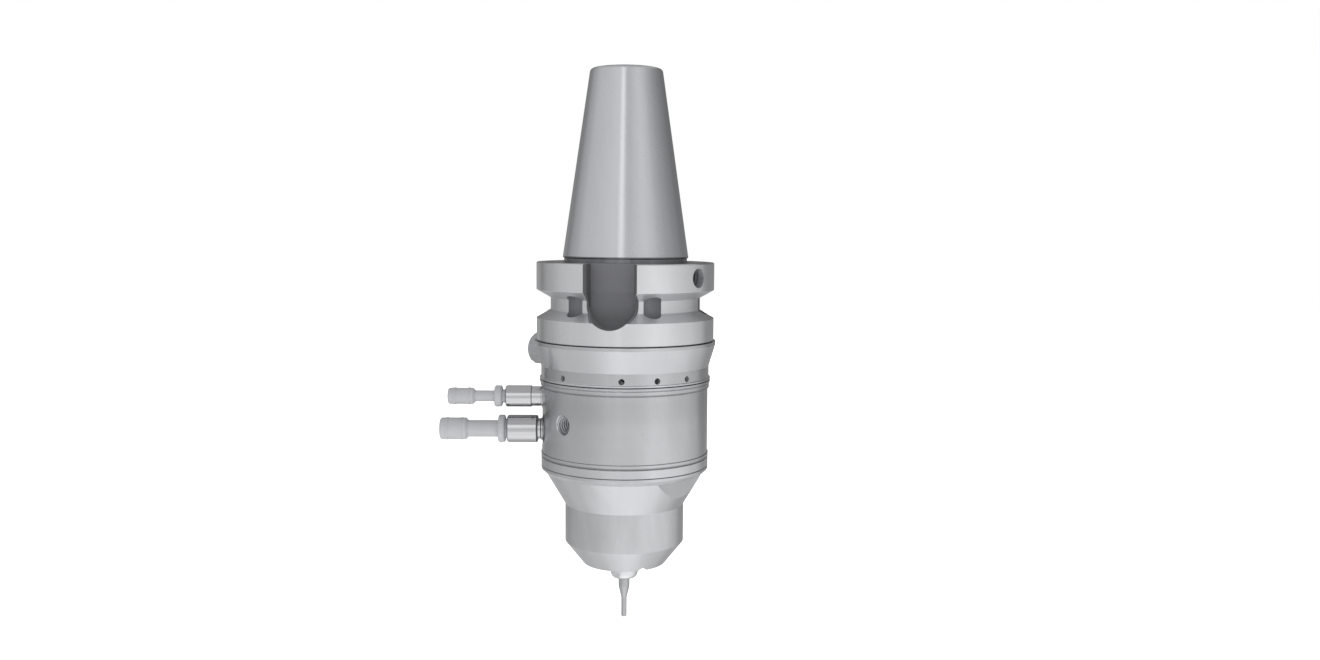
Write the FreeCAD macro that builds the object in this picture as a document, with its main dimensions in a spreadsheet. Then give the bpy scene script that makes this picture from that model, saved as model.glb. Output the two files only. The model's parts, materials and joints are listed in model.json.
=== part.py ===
import FreeCAD, Part
import math
import os

import Sketcher
from FreeCAD import Vector

# High-speed air-turbine spindle on a 40-taper shank.
# Frame: millimetres, +Z up along the spindle axis towards the small end of the taper, origin in the
# taper's gauge plane. A turn is an angle about Z in degrees, 0 at -Y, positive towards +X.
# A height is a distance above the gauge plane, so what hangs below it has a negative height.

# Driving dimensions: name, value, meaning
DRIVING = [
    # Taper shank
    ("gauge_radius", 22.225, "taper radius in the gauge plane"),
    ("taper_length", 65.4, "gauge plane to the small end"),
    ("taper_half_ratio", 7 / 48, "radius lost per mm of taper, 7:24 on the diameter"),
    ("taper_end_round", 1.2, "round on the small end's edge"),
    ("relief_radius", 21.8, "grinding relief under the taper"),
    ("relief_start", 0.3, "gauge plane down to the relief"),
    ("face_groove_room", 0.2, "grinding groove in the flange's face, outside the taper"),
    ("face_groove_depth", 0.3, "depth of that groove"),
    ("flange_radius", 31.5, "flange"),
    ("flange_top", -2.0, "height of the flange's upper face"),
    ("flange_bottom", -29.5, "height of the flange's lower face"),
    ("edge_break", 0.3, "broken edges of the large turned parts"),
    ("groove_centre", -16.6, "height of the middle of the V-groove"),
    ("groove_floor_radius", 26.5, "floor of the V-groove"),
    ("groove_floor_width", 4.226, "width of the floor of the V-groove"),
    ("groove_flank_angle", 30.0, "flanks of the V-groove above the horizontal"),
    ("keyway_width", 16.1, "drive keyway"),
    ("keyway_floor", 22.6, "spindle axis to the keyway's floor"),
    ("keyway_end_centre", -15.9, "height of the centre of the keyway's round end"),
    ("keyway_chamfer", 1.0, "chamfer on the keyway's upright edges"),
    ("shank_turn", -9.94, "how far the shank is turned on the body"),
    ("draw_thread_radius", 7.0, "core of the draw thread, M16"),
    ("draw_thread_length", 32.0, "length of the draw thread"),
    ("draw_mouth_radius", 8.5, "counterbore over the draw thread"),
    ("draw_mouth_depth", 5.0, "depth of that counterbore"),
    ("shank_bore_radius", 5.0, "through bore of the shank"),
    ("plug_seat_radius", 8.0, "seat of the bore plug"),
    ("plug_seat_top", -20.0, "height of the top of the plug's seat"),
    ("plug_length", 7.0, "bore plug"),
    ("plug_hex", 8.0, "hexagon socket of the bore plug, across flats"),
    ("spigot_radius", 17.0, "locating spigot under the flange"),
    ("spigot_bottom", -33.0, "height of the spigot's end"),
    ("side_hole_radius", 3.35, "tapped side hole of the flange"),
    ("side_hole_turn", 62.2, "side hole, from the keyway"),
    ("side_hole_height", -6.8, "height of the side hole"),
    ("side_hole_depth", 11.0, "depth of the side hole"),
    # Screws between shank and body
    ("screw_inset", 2.33, "screw circle inside the neck of the main housing"),
    ("screw_count", 6, "screws in the circle"),
    ("screw_first_turn", 30.0, "first screw, from the keyway"),
    ("screw_access_radius", 3.15, "access hole over the screw head"),
    ("screw_seat", -25.2, "height of the seat of the screw heads"),
    ("screw_hole_radius", 1.7, "clearance hole of a screw"),
    ("screw_radius", 1.5, "screw, M3"),
    ("screw_head_radius", 2.75, "screw head"),
    ("screw_head_height", 3.0, "screw head"),
    ("screw_length", 10.0, "screw under its head"),
    ("screw_hex", 2.5, "hexagon socket of a screw, across flats"),
    ("screw_hex_depth", 1.5, "depth of that socket"),
    # Seals
    ("seal_section", 0.7, "half the thickness of the O-rings"),
    ("seal_room", 0.15, "room beside an O-ring in its groove"),
    ("shank_seal_height", -31.3, "height of the O-ring on the shank's spigot"),
    ("front_seal_height", -73.0, "height of the O-ring on the front housing's spigot"),
    # Fits
    ("fit", 0.05, "radial clearance of parts that slide or turn in each other"),
    ("seam", 0.1, "gap of an open seam between two turned parts"),
    # Vent ring
    ("vent_top_radius", 32.2, "upper rim of the vent ring"),
    ("vent_rim_bottom", -30.8, "height where the rim ends and the cone starts"),
    ("vent_cone_bottom", -38.5, "height where the cone ends"),
    ("vent_rim_step", 2.3, "rim of the vent ring over its band with the vent holes"),
    ("bead_rise", 0.5, "beads on both sides of the vent ring's seam, over that band"),
    ("vent_bottom", -43.2, "height of the vent ring's lower face"),
    ("bead_height", 0.7, "bead of the vent ring"),
    ("vent_hole_radius", 1.05, "vent hole"),
    ("vent_hole_height", -41.1, "height of the vent holes"),
    ("vent_hole_turn", -2.3, "side of the first vent hole of the front group"),
    ("vent_hole_pitch", 23.6, "turn from one vent hole to the next in a group"),
    ("vent_groups", 4, "groups of three vent holes"),
    # Main housing
    ("vent_wall", 4.0, "rim of the vent ring over the housing's neck"),
    ("plenum_depth", 3.0, "depth of the exhaust groove behind the vent holes"),
    ("plenum_top", -38.7, "height of the top of the exhaust groove"),
    ("plenum_bottom", -42.3, "height of the bottom of the exhaust groove"),
    ("exhaust_port_radius", 1.5, "ports from the turbine chamber to the exhaust groove"),
    ("exhaust_port_height", -40.4, "height of those ports"),
    ("exhaust_port_count", 8, "number of those ports"),
    ("upper_bead_bottom", -44.2, "height of the lower edge of the housing's bead"),
    ("notch_radius", 29.8, "notch under the bead"),
    ("second_bead_radius", 30.1, "second bead"),
    ("second_bead_bottom", -46.1, "height of its lower edge"),
    ("body_radius", 29.6, "cylindrical body"),
    ("body_bottom", -69.4, "height of the lower end of the cylindrical body"),
    ("lower_bead_radius", 29.9, "thin bead under the body"),
    ("lower_bead_bottom", -70.8, "height of its lower edge"),
    ("skirt_radius", 29.85, "skirt down to the front housing"),
    ("skirt_bottom", -74.2, "height of the housing's lower face"),
    ("chamber_floor", -42.0, "height of the floor of the exhaust chamber"),
    ("stack_radius", 18.5, "bore for the bearing stack"),
    ("front_thread_radius", 20.0, "internal thread for the front housing"),
    ("front_thread_top", -67.0, "height of the top of that thread"),
    ("drive_ring_radius", 20.5, "floor of the drive-air groove round the nozzle ring"),
    ("drive_ring_top", -43.6, "height of the top of the drive-air groove"),
    ("drive_ring_bottom", -46.4, "height of the bottom of the drive-air groove"),
    ("side_flat_distance", 29.2, "spindle axis to the flat under the fittings"),
    ("side_flat_top", -45.5, "height of the top of that flat"),
    ("side_flat_bottom", -67.5, "height of the bottom of that flat"),
    ("channel_circle", 22.4, "radius on which the drive-air channel lies"),
    ("channel_radius", 1.6, "drive-air channel"),
    ("channel_turn", 8.7, "drive-air channel, from the fittings' side"),
    ("channel_top", -43.5, "height of the top of the drive-air channel"),
    ("link_radius", 1.1, "hole from the channel to the drive-air groove"),
    ("bearing_drill_radius", 1.25, "hole from the bearing-air port to the bore"),
    ("port_turn", -46.0, "tapped hole in the body's side"),
    ("port_height", -57.3, "height of that hole"),
    ("port_radius", 3.1, "core of that hole's thread"),
    ("port_depth", 7.0, "depth of that hole"),
    ("port_chamfer", 0.5, "chamfer of that hole"),
    # Front housing
    ("front_spigot_top", -68.6, "height of the end of the threaded spigot"),
    ("rim_bottom", -75.3, "height of the lower edge of the front housing's rim"),
    ("cone_top_radius", 28.2, "top of the cone"),
    ("cone_top", -76.8, "height of the top of the cone"),
    ("cone_bottom", -88.4, "height of the bottom of the cone"),
    ("nose_radius", 21.3, "nose cylinder"),
    ("nose_cone_top", -102.0, "height of the top of the nose cone"),
    ("nose_end_radius", 14.85, "lower rim of the nose cone"),
    ("nose_end", -110.1, "height of the lower rim"),
    ("wrench_flat_distance", 24.0, "spindle axis to a wrench flat of the front housing"),
    ("wrench_flat_turn", 55.0, "first wrench flat"),
    ("spanner_groove_radius", 1.7, "round-bottomed spanner groove"),
    ("spanner_groove_turn", 26.0, "first spanner groove"),
    ("spanner_groove_depth", 1.2, "depth of the spanner grooves"),
    ("front_bore_radius", 13.0, "bore for the front bush"),
    ("front_bore_bottom", -104.0, "height of the end of that bore"),
    ("nose_lip_radius", 8.0, "opening under the front bush"),
    ("nose_ring_radius", 9.5, "seat of the nose ring"),
    ("nose_ring_seat", -107.6, "height of the top of the nose ring's seat"),
    ("nose_ring_bore", 5.4, "bore of the nose ring"),
    # Bearing stack
    ("rear_body_top", -47.5, "height of the top of the rear bearing body"),
    ("rear_body_bottom", -60.0, "height of its bottom"),
    ("rear_body_bore", 11.0, "bore of the rear bearing body"),
    ("bush_recess", 0.25, "bush ends lie this far inside their seats"),
    ("bearing_groove_width", 1.6, "bearing-air groove of the rear bearing body"),
    ("bearing_groove_depth", 1.0, "depth of the bearing-air grooves"),
    ("feed_hole_radius", 0.6, "feed hole of a bearing"),
    ("feed_hole_count", 6, "feed holes of a bearing"),
    ("rear_seal_one", -53.8, "height of the first O-ring on the rear bearing body"),
    ("rear_seal_two", -57.6, "height of the second one"),
    ("thrust_plate_height", 2.5, "thrust plate"),
    ("thrust_plate_bore", 8.5, "bore of a thrust plate"),
    ("orifice_circle", 11.0, "radius of the circle of orifices"),
    ("orifice_radius", 0.5, "orifice of a thrust plate"),
    ("thrust_disc_height", 3.5, "thrust disc of the shaft"),
    ("thrust_disc_radius", 13.5, "thrust disc of the shaft"),
    ("spacer_bore", 14.2, "spacer ring round the thrust disc"),
    ("front_bush_seal_one", -74.0, "height of the first O-ring on the front bush"),
    ("front_bush_seal_two", -99.0, "height of the second one"),
    ("front_feed_height", -87.0, "height of the front bush's air groove"),
    # Rotor
    ("journal_radius", 7.5, "journals of the shaft"),
    ("wheel_seat_radius", 5.0, "seat of the turbine wheel"),
    ("stud_radius", 3.0, "threaded rear end of the shaft"),
    ("shaft_top", -34.0, "height of the rear end of the shaft"),
    ("shaft_shoulder", -47.25, "height of the shoulder under the wheel"),
    ("journal_end", -104.2, "height of the front end of the journal"),
    ("shaft_neck_radius", 4.6, "relief behind the nut's thread"),
    ("nut_thread_radius", 4.0, "thread for the collet nut"),
    ("nut_thread_top", -105.4, "height of the top of that thread"),
    ("shaft_end", -111.8, "height of the front end of the shaft"),
    ("seat_mouth_radius", 3.38, "mouth of the collet seat"),
    ("seat_taper_top", -106.0, "height where the collet seat's taper starts"),
    ("collet_bore_radius", 2.6, "straight bore behind the collet's taper"),
    ("collet_bore_top", -92.0, "height of the end of that bore"),
    ("air_bore_radius", 2.1, "relief bore behind the tool"),
    ("air_bore_top", -78.0, "height of the end of the relief bore"),
    ("wheel_top", -41.3, "height of the top of the wheel's hub"),
    ("wheel_hub_radius", 6.8, "hub of the turbine wheel"),
    ("wheel_rim_radius", 9.5, "rim that carries the blades"),
    ("wheel_rim_top", -42.8, "height of the top of the rim"),
    ("blade_tip_radius", 12.5, "blade tips"),
    ("blade_count", 14, "turbine blades"),
    ("blade_bulge", 3.4, "radius of a blade's hollow side"),
    ("blade_back", 6.0, "radius of a blade's back"),
    ("blade_turn", 4.5, "half the turn that a blade's foot covers"),
    ("nozzle_bore", 12.9, "bore of the nozzle ring"),
    ("nozzle_offset", 11.5, "distance of a nozzle's axis from the spindle axis"),
    ("nozzle_width", 1.2, "nozzle"),
    ("nozzle_height", 2.2, "nozzle"),
    ("nozzle_level", -45.0, "height of the nozzles' middle"),
    ("nozzle_count", 6, "nozzles"),
    ("wheel_nut_flats", 9.0, "turbine nut, across flats"),
    ("wheel_nut_top", -37.4, "height of the top of the turbine nut"),
    ("target_radius", 6.0, "speed target"),
    ("target_top", -34.4, "height of the top of the speed target"),
    ("target_notch", 1.6, "width of the notches in the speed target"),
    # Collet, nut and tool
    ("collet_top", -95.0, "height of the collet's rear end"),
    ("collet_head", -111.9, "height of the collet's largest diameter"),
    ("collet_end", -112.8, "height of the collet's front face"),
    ("collet_end_radius", 2.5, "front face of the collet"),
    ("collet_slot", 0.35, "slot of the collet"),
    ("collet_slot_top", -98.0, "height of the top of the slots"),
    ("tool_radius", 2.0, "shank of the tool"),
    ("tool_top", -95.6, "height of the tool's rear end"),
    ("tool_shank_bottom", -119.6, "height of the end of the tool's shank"),
    ("tool_neck_bottom", -124.0, "height of the end of the tool's taper"),
    ("cutter_radius", 0.98, "cutting end of the tool"),
    ("tip_round", 0.45, "round of the cutter's tip"),
    ("tool_end", -131.1, "height of the tool's tip"),
    ("tool_edge", 0.2, "edge break of the tool"),
    ("nut_radius", 4.95, "collet nut"),
    ("nut_top", -105.6, "height of the nut's rear face"),
    ("nut_end", -116.5, "height of the nut's front face"),
    ("nut_round", 2.2, "round of the nut's front edge"),
    ("nut_cone_radius", 3.45, "mouth of the cone that presses the collet"),
    ("nut_cone_top", -112.0, "height of the top of that cone"),
    ("nut_cone_bottom", -113.05, "height of the bottom of that cone"),
    ("nut_exit_radius", 2.15, "exit bore of the nut"),
    ("nut_flat_distance", 3.9, "spindle axis to a flat of the nut"),
    ("nut_flat_top", -113.9, "height of the top of the nut's flats"),
    ("nut_flat_turn", -56.0, "first flat of the nut"),
    # Fittings, lengths measured from the spindle axis
    ("fitting_turn", -90.0, "side of the body that carries the fittings"),
    ("drive_height", -61.93, "height of the drive-air fitting"),
    ("drive_thread_radius", 3.0, "thread of the drive-air fitting, M6"),
    ("drive_thread_end", 23.7, "inner end of that thread"),
    ("drive_port_floor", 20.9, "floor of the drive-air port"),
    ("drive_bore", 1.75, "through bore of the drive-air fitting"),
    ("drive_foot_radius", 4.1, "foot of the drive-air fitting"),
    ("drive_foot_end", 29.75, "outer end of the foot"),
    ("drive_neck_radius", 3.7, "neck behind the foot"),
    ("drive_neck_end", 31.1, "outer end of the neck"),
    ("drive_collar_radius", 4.95, "collar of the drive-air fitting"),
    ("drive_collar_end", 42.0, "outer end of the collar"),
    ("drive_tube_radius", 3.0, "tube that the drive-air fitting takes, 6 mm"),
    ("drive_tube_stop", 33.0, "stop of the tube in the fitting"),
    ("drive_stem_radius", 3.55, "bore for the release ring's stem"),
    ("drive_ring_gap", 0.79, "gap between collar and release ring"),
    ("drive_ring_width", 2.36, "release ring of the drive-air fitting"),
    ("drive_ring_rim", 4.97, "outer radius of that release ring"),
    ("drive_rod_end", 55.9, "outer end of the plug's rod"),
    ("drive_head_radius", 3.9, "head of the drive-air plug"),
    ("drive_head_end", 66.0, "outer end of that head"),
    ("bearing_height", -50.17, "height of the bearing-air fitting"),
    ("bearing_thread_radius", 2.5, "thread of the bearing-air fitting, M5"),
    ("bearing_thread_end", 25.2, "inner end of that thread"),
    ("bearing_port_floor", 24.8, "floor of the bearing-air port"),
    ("bearing_bore", 1.25, "through bore of the bearing-air fitting"),
    ("bearing_foot_radius", 3.55, "foot of the bearing-air fitting"),
    ("bearing_foot_end", 33.28, "outer end of the foot"),
    ("bearing_collar_radius", 3.85, "collar of the bearing-air fitting"),
    ("bearing_collar_end", 42.56, "outer end of the collar"),
    ("bearing_tube_radius", 2.0, "tube that the bearing-air fitting takes, 4 mm"),
    ("bearing_tube_stop", 34.2, "stop of the tube in the fitting"),
    ("bearing_stem_radius", 2.45, "bore for the release ring's stem"),
    ("bearing_ring_gap", 1.25, "gap between collar and release ring"),
    ("bearing_ring_width", 2.68, "release ring of the bearing-air fitting"),
    ("bearing_ring_rim", 3.83, "outer radius of that release ring"),
    ("bearing_rod_end", 53.25, "outer end of the plug's rod"),
    ("bearing_head_radius", 2.92, "head of the bearing-air plug"),
    ("bearing_head_end", 63.1, "outer end of that head"),
    ("collar_chamfer", 0.4, "chamfers of the fittings' collars"),
    ("seal_land", 1.4, "land behind the tube seal"),
    ("tube_seal_length", 1.5, "tube seal of a fitting"),
    ("tube_seal_wall", 0.95, "wall of a tube seal"),
    ("grip_land", 0.4, "land between the seal and the grip ring"),
    ("grip_length", 1.0, "room of the grip ring"),
    ("grip_slots", 8, "slots between the grip ring's teeth"),
    ("grip_slot_width", 0.5, "slot of the grip ring"),
    ("stem_run", 0.1, "gap between the pressed release ring and the grip ring"),
    ("plug_shoulder", 0.9, "length of the conical shoulder of a plug's head"),
    ("plug_end_round", 0.8, "round of a plug's head"),
    # Speed sensor
    ("sensor_turn", -126.0, "side of the body that carries the sensor"),
    ("sensor_height", -35.2, "height of the sensor"),
    ("sensor_radius", 2.0, "speed sensor"),
    ("sensor_gap", 1.0, "gap between the sensor and the speed target"),
    ("sensor_head_radius", 3.3, "head of the speed sensor"),
    ("sensor_head_stand", 0.8, "inner end of that head, outside the vent ring's rim"),
    ("sensor_head_length", 2.5, "length of that head"),
    ("socket_stem_radius", 3.0, "stem of the sensor socket"),
    ("socket_stem_start", 18.5, "inner end of that stem"),
    ("socket_radius", 4.42, "threaded barrel of the sensor socket"),
    ("socket_seat_gap", 0.25, "inner end of the barrel, outside the housing's neck"),
    ("socket_length", 10.4, "length of the barrel"),
    ("socket_room", 0.25, "room round the barrel in the vent ring"),
    ("cap_radius", 5.9, "sensor cap"),
    ("cap_stand", 0.4, "inner end of the cap, outside the vent ring's rim"),
    ("cap_length", 8.6, "length of the cap"),
    ("cap_floor", 1.5, "end wall of the cap"),
    ("cap_flutes", 12, "flutes of the cap"),
    ("cap_flute_radius", 1.3, "flute of the cap"),
    ("cap_flute_depth", 0.45, "depth of a flute"),
    ("cap_seal_height", 0.7, "seal in the cap"),
    ("cap_seal_bore", 2.5, "bore of that seal"),
    ("cap_seal_gap", 0.05, "gap on each side of that seal"),
]


class Size:
    """A number together with the expression that gives it from the sheet."""

    def __init__(self, value, text):
        self.value = value
        self.text = text

    def join(self, other, sign, result):
        return Size(result, f"({self.text} {sign} {as_size(other).text})")

    def __add__(self, other):
        return self.join(other, "+", self.value + as_size(other).value)

    def __sub__(self, other):
        return self.join(other, "-", self.value - as_size(other).value)

    def __mul__(self, other):
        return self.join(other, "*", self.value * as_size(other).value)

    def __truediv__(self, other):
        return self.join(other, "/", self.value / as_size(other).value)

    def __neg__(self):
        return Size(-self.value, f"(-{self.text})")


def as_size(number):
    if isinstance(number, Size):
        return number
    return Size(float(number), f"({float(number)})")


def sine(angle):
    return Size(math.sin(math.radians(angle.value)), f"sin({angle.text})")


def cosine(angle):
    return Size(math.cos(math.radians(angle.value)), f"cos({angle.text})")


def tangent(angle):
    return Size(math.tan(math.radians(angle.value)), f"tan({angle.text})")


def root(number):
    return Size(math.sqrt(number.value), f"sqrt({number.text})")


class Sizes:
    """The driving dimensions by name, each bound to its cell in the sheet."""

    def __init__(self, document):
        sheet = document.addObject("Spreadsheet::Sheet", "Sizes")
        for row, (name, value, meaning) in enumerate(DRIVING, 1):
            sheet.set(f"A{row}", name)
            sheet.set(f"B{row}", str(value))
            sheet.set(f"C{row}", meaning)
            sheet.setAlias(f"B{row}", name)
            setattr(self, name, Size(float(value), f"Sizes.{name}"))


doc = FreeCAD.newDocument("spindle")
s = Sizes(doc)
doc.recompute()
bodies = []


# Sketch and feature helpers


def origin_item(body, role):
    return next(item for item in body.Origin.OriginFeatures if item.Role == role)


def new_body(label):
    body = doc.addObject("PartDesign::Body", label)
    body.Label = label
    body.AllowCompound = True
    bodies.append(body)
    return body


def lay_along(body, turn, height):
    """Lay a body that was built along Z on its side, pointing outwards at a turn and a height."""
    height = as_size(height)
    body.setExpression(
        "Placement",
        f"placement(vector(0; 0; {height.text}); rotation({turn.text} - 90; 90; 0))",
    )


def turn_body(body, turn):
    body.setExpression("Placement", f"placement(vector(0; 0; 0); rotation({turn.text}; 0; 0))")


def new_sketch(body, name, role):
    sketch = body.newObject("Sketcher::SketchObject", name)
    sketch.AttachmentSupport = (origin_item(body, role), [""])
    sketch.MapMode = "FlatFace"
    return sketch


def pin(sketch, geometry, point, x, y):
    """Fix one point of a sketch at x and y from its origin."""
    for kind, size in (("DistanceX", as_size(x)), ("DistanceY", as_size(y))):
        index = sketch.addConstraint(Sketcher.Constraint(kind, -1, 1, geometry, point, size.value))
        sketch.setExpression(f"Constraints[{index}]", size.text)


def draw_outline(sketch, points):
    """Draw a closed outline of straight lines through points of two sizes each."""
    first = sketch.GeometryCount
    count = len(points)
    vectors = [Vector(as_size(x).value, as_size(y).value, 0) for x, y in points]
    for i in range(count):
        sketch.addGeometry(Part.LineSegment(vectors[i], vectors[(i + 1) % count]), False)
    for i in range(count):
        after = first + (i + 1) % count
        sketch.addConstraint(Sketcher.Constraint("Coincident", first + i, 2, after, 1))
    for i, (x, y) in enumerate(points):
        pin(sketch, first + i, 1, x, y)


def draw_circle(sketch, x, y, radius):
    x, y, radius = as_size(x), as_size(y), as_size(radius)
    circle = Part.Circle(Vector(x.value, y.value, 0), Vector(0, 0, 1), radius.value)
    index = sketch.addGeometry(circle, False)
    pin(sketch, index, 3, x, y)
    bound = sketch.addConstraint(Sketcher.Constraint("Radius", index, radius.value))
    sketch.setExpression(f"Constraints[{bound}]", radius.text)


def draw_box(sketch, x_low, x_high, y_low, y_high):
    draw_outline(sketch, [(x_low, y_low), (x_high, y_low), (x_high, y_high), (x_low, y_high)])


def hexagon(flats, x=0, y=0):
    """Six corners of a hexagon of a width across flats, about the point x, y."""
    reach = as_size(flats) / math.sqrt(3)
    corners = []
    for k in range(6):
        angle = math.radians(60 * k)
        corners.append((reach * math.cos(angle) + x, reach * math.sin(angle) + y))
    return corners


def turned(label, outline):
    """A turned part: its half outline, as radius and height, revolved about Z."""
    body = new_body(label)
    sketch = new_sketch(body, label + "_outline", "XZ_Plane")
    draw_outline(sketch, outline)
    turning = body.newObject("PartDesign::Revolution", label + "_turned")
    turning.Profile = sketch
    turning.ReferenceAxis = (sketch, ["V_Axis"])
    turning.Angle = 360
    return body


def top_sketch(body, name, height):
    """A sketch at a height, seen from above: x to the right, y away from the front."""
    sketch = new_sketch(body, name, "XY_Plane")
    sketch.setExpression(".AttachmentOffset.Base.z", as_size(height).text)
    return sketch


def side_sketch(body, name, turn, height, reach):
    """A sketch that faces outwards at a turn, a height and a reach from the axis."""
    sketch = new_sketch(body, name, "XZ_Plane")
    turn, height, reach = as_size(turn), as_size(height), as_size(reach)
    rotation = FreeCAD.Rotation(Vector(0, 1, 0), 10)
    sketch.AttachmentOffset = FreeCAD.Placement(Vector(0, 0, 0), rotation)
    sketch.setExpression(".AttachmentOffset.Base.x", f"{reach.text} * sin({turn.text})")
    sketch.setExpression(".AttachmentOffset.Base.y", height.text)
    sketch.setExpression(".AttachmentOffset.Base.z", f"{reach.text} * cos({turn.text})")
    sketch.setExpression(".AttachmentOffset.Rotation.Angle", turn.text)
    return sketch


def cut(body, name, sketch, depth, taper=0):
    """Cut a sketch into the body, against the way the sketch faces."""
    pocket = body.newObject("PartDesign::Pocket", name)
    pocket.Profile = sketch
    pocket.setExpression("Length", as_size(depth).text)
    pocket.TaperAngle = taper
    return pocket


def raise_pad(body, name, sketch, length):
    """Raise a sketch against the way it faces, so downwards from a top sketch."""
    pad = body.newObject("PartDesign::Pad", name)
    pad.Profile = sketch
    pad.setExpression("Length", as_size(length).text)
    pad.Reversed = True
    return pad


def repeat(body, name, features, count):
    """Repeat features evenly round the body's own Z axis."""
    pattern = body.newObject("PartDesign::PolarPattern", name)
    pattern.Originals = features
    pattern.Axis = (origin_item(body, "Z_Axis"), [""])
    pattern.Angle = 360
    pattern.setExpression("Occurrences", as_size(count).text)
    body.Tip = pattern
    return pattern


def on_circle(radius, turn):
    """The x and y of a point on a circle about Z at a turn."""
    turn = as_size(turn)
    return as_size(radius) * sine(turn), -(as_size(radius) * cosine(turn))


def seal_groove(radius, height):
    """The four corners of an O-ring groove in a shaft's outline, from the top down."""
    depth = s.seal_section * 2 + s.fit
    half = s.seal_section + s.seal_room
    floor = radius - depth
    return [
        (radius, height + half),
        (floor, height + half),
        (floor, height - half),
        (radius, height - half),
    ]


def seal_rings(label, radius, heights):
    """O-rings, pressed to an eight-sided section by the grooves of a part of this radius."""
    body = new_body(label)
    sketch = new_sketch(body, label + "_section", "XZ_Plane")
    half = s.seal_section
    flat = half * math.tan(math.radians(22.5))
    middle = radius - half - s.fit / 2
    for height in heights:
        draw_outline(
            sketch,
            [
                (middle - half, height - flat),
                (middle - flat, height - half),
                (middle + flat, height - half),
                (middle + half, height - flat),
                (middle + half, height + flat),
                (middle + flat, height + half),
                (middle - flat, height + half),
                (middle - half, height + flat),
            ],
        )
    ring = body.newObject("PartDesign::Revolution", label + "_turned")
    ring.Profile = sketch
    ring.ReferenceAxis = (sketch, ["V_Axis"])
    ring.Angle = 360
    return body


def round_edge(body, name, base, radius, edge_radius, edge_height):
    """Round the circular edge that has this radius and height."""
    doc.recompute()
    edges = []
    for number, edge in enumerate(base.Shape.Edges, 1):
        circle = edge.Curve
        if not isinstance(circle, Part.Circle):
            continue
        if abs(circle.Radius - edge_radius.value) < 1e-4:
            if abs(circle.Center.z - edge_height.value) < 1e-4:
                edges.append(f"Edge{number}")
    fillet = body.newObject("PartDesign::Fillet", name)
    fillet.Base = (base, edges)
    fillet.setExpression("Radius", radius.text)
    return fillet


# Heights and radii that several parts share

flank_height = (s.flange_radius - s.groove_floor_radius) * tangent(s.groove_flank_angle)
groove_floor_top = s.groove_centre + s.groove_floor_width / 2
groove_floor_bottom = s.groove_centre - s.groove_floor_width / 2
groove_top = groove_floor_top + flank_height
groove_bottom = groove_floor_bottom - flank_height
small_end_radius = s.gauge_radius - s.taper_length * s.taper_half_ratio
stack_outer = s.stack_radius - s.fit
thrust_top = s.rear_body_bottom - s.thrust_plate_height
spacer_height = s.thrust_disc_height + s.fit * 2
thrust_bottom = thrust_top - spacer_height
housing_screw_turn = s.shank_turn + s.screw_first_turn
vent_band_radius = s.vent_top_radius - s.vent_rim_step
bead_radius = vent_band_radius + s.bead_rise
neck_radius = s.vent_top_radius - s.vent_wall
plenum_radius = neck_radius - s.plenum_depth
screw_circle = neck_radius - s.screw_inset
socket_start = neck_radius + s.socket_seat_gap
socket_end = socket_start + s.socket_length
sensor_head_start = s.vent_top_radius + s.sensor_head_stand
sensor_head_end = sensor_head_start + s.sensor_head_length
cap_start = s.vent_top_radius + s.cap_stand
cap_end = cap_start + s.cap_length


# Taper shank with flange


def make_taper_shank():
    thread_top = s.taper_length - s.draw_mouth_depth
    thread_bottom = thread_top - s.draw_thread_length
    outline = [
        (s.draw_mouth_radius, s.taper_length),
        (small_end_radius, s.taper_length),
        (s.gauge_radius, 0),
        (s.gauge_radius, -s.relief_start),
        (s.relief_radius, -s.relief_start * 2),
        (s.relief_radius, s.flange_top - s.face_groove_depth),
        (s.gauge_radius + s.face_groove_room, s.flange_top - s.face_groove_depth),
        (s.gauge_radius + s.face_groove_room, s.flange_top),
        (s.flange_radius - s.edge_break, s.flange_top),
        (s.flange_radius, s.flange_top - s.edge_break),
        (s.flange_radius, groove_top),
        (s.groove_floor_radius, groove_floor_top),
        (s.groove_floor_radius, groove_floor_bottom),
        (s.flange_radius, groove_bottom),
        (s.flange_radius, s.flange_bottom + s.edge_break),
        (s.flange_radius - s.edge_break, s.flange_bottom),
        (s.spigot_radius, s.flange_bottom),
        *seal_groove(s.spigot_radius, s.shank_seal_height),
        (s.spigot_radius, s.spigot_bottom),
        (s.plug_seat_radius, s.spigot_bottom),
        (s.plug_seat_radius, s.plug_seat_top),
        (s.shank_bore_radius, s.plug_seat_top),
        (s.shank_bore_radius, thread_bottom),
        (s.draw_thread_radius, thread_bottom),
        (s.draw_thread_radius, thread_top),
        (s.draw_mouth_radius, thread_top),
    ]
    body = turned("taper_shank", outline)
    round_edge(body, "small_end_round", body.Tip, s.taper_end_round, small_end_radius, s.taper_length)
    cut_keyways(body)
    cut_shank_holes(body)
    turn_body(body, s.shank_turn)


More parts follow.
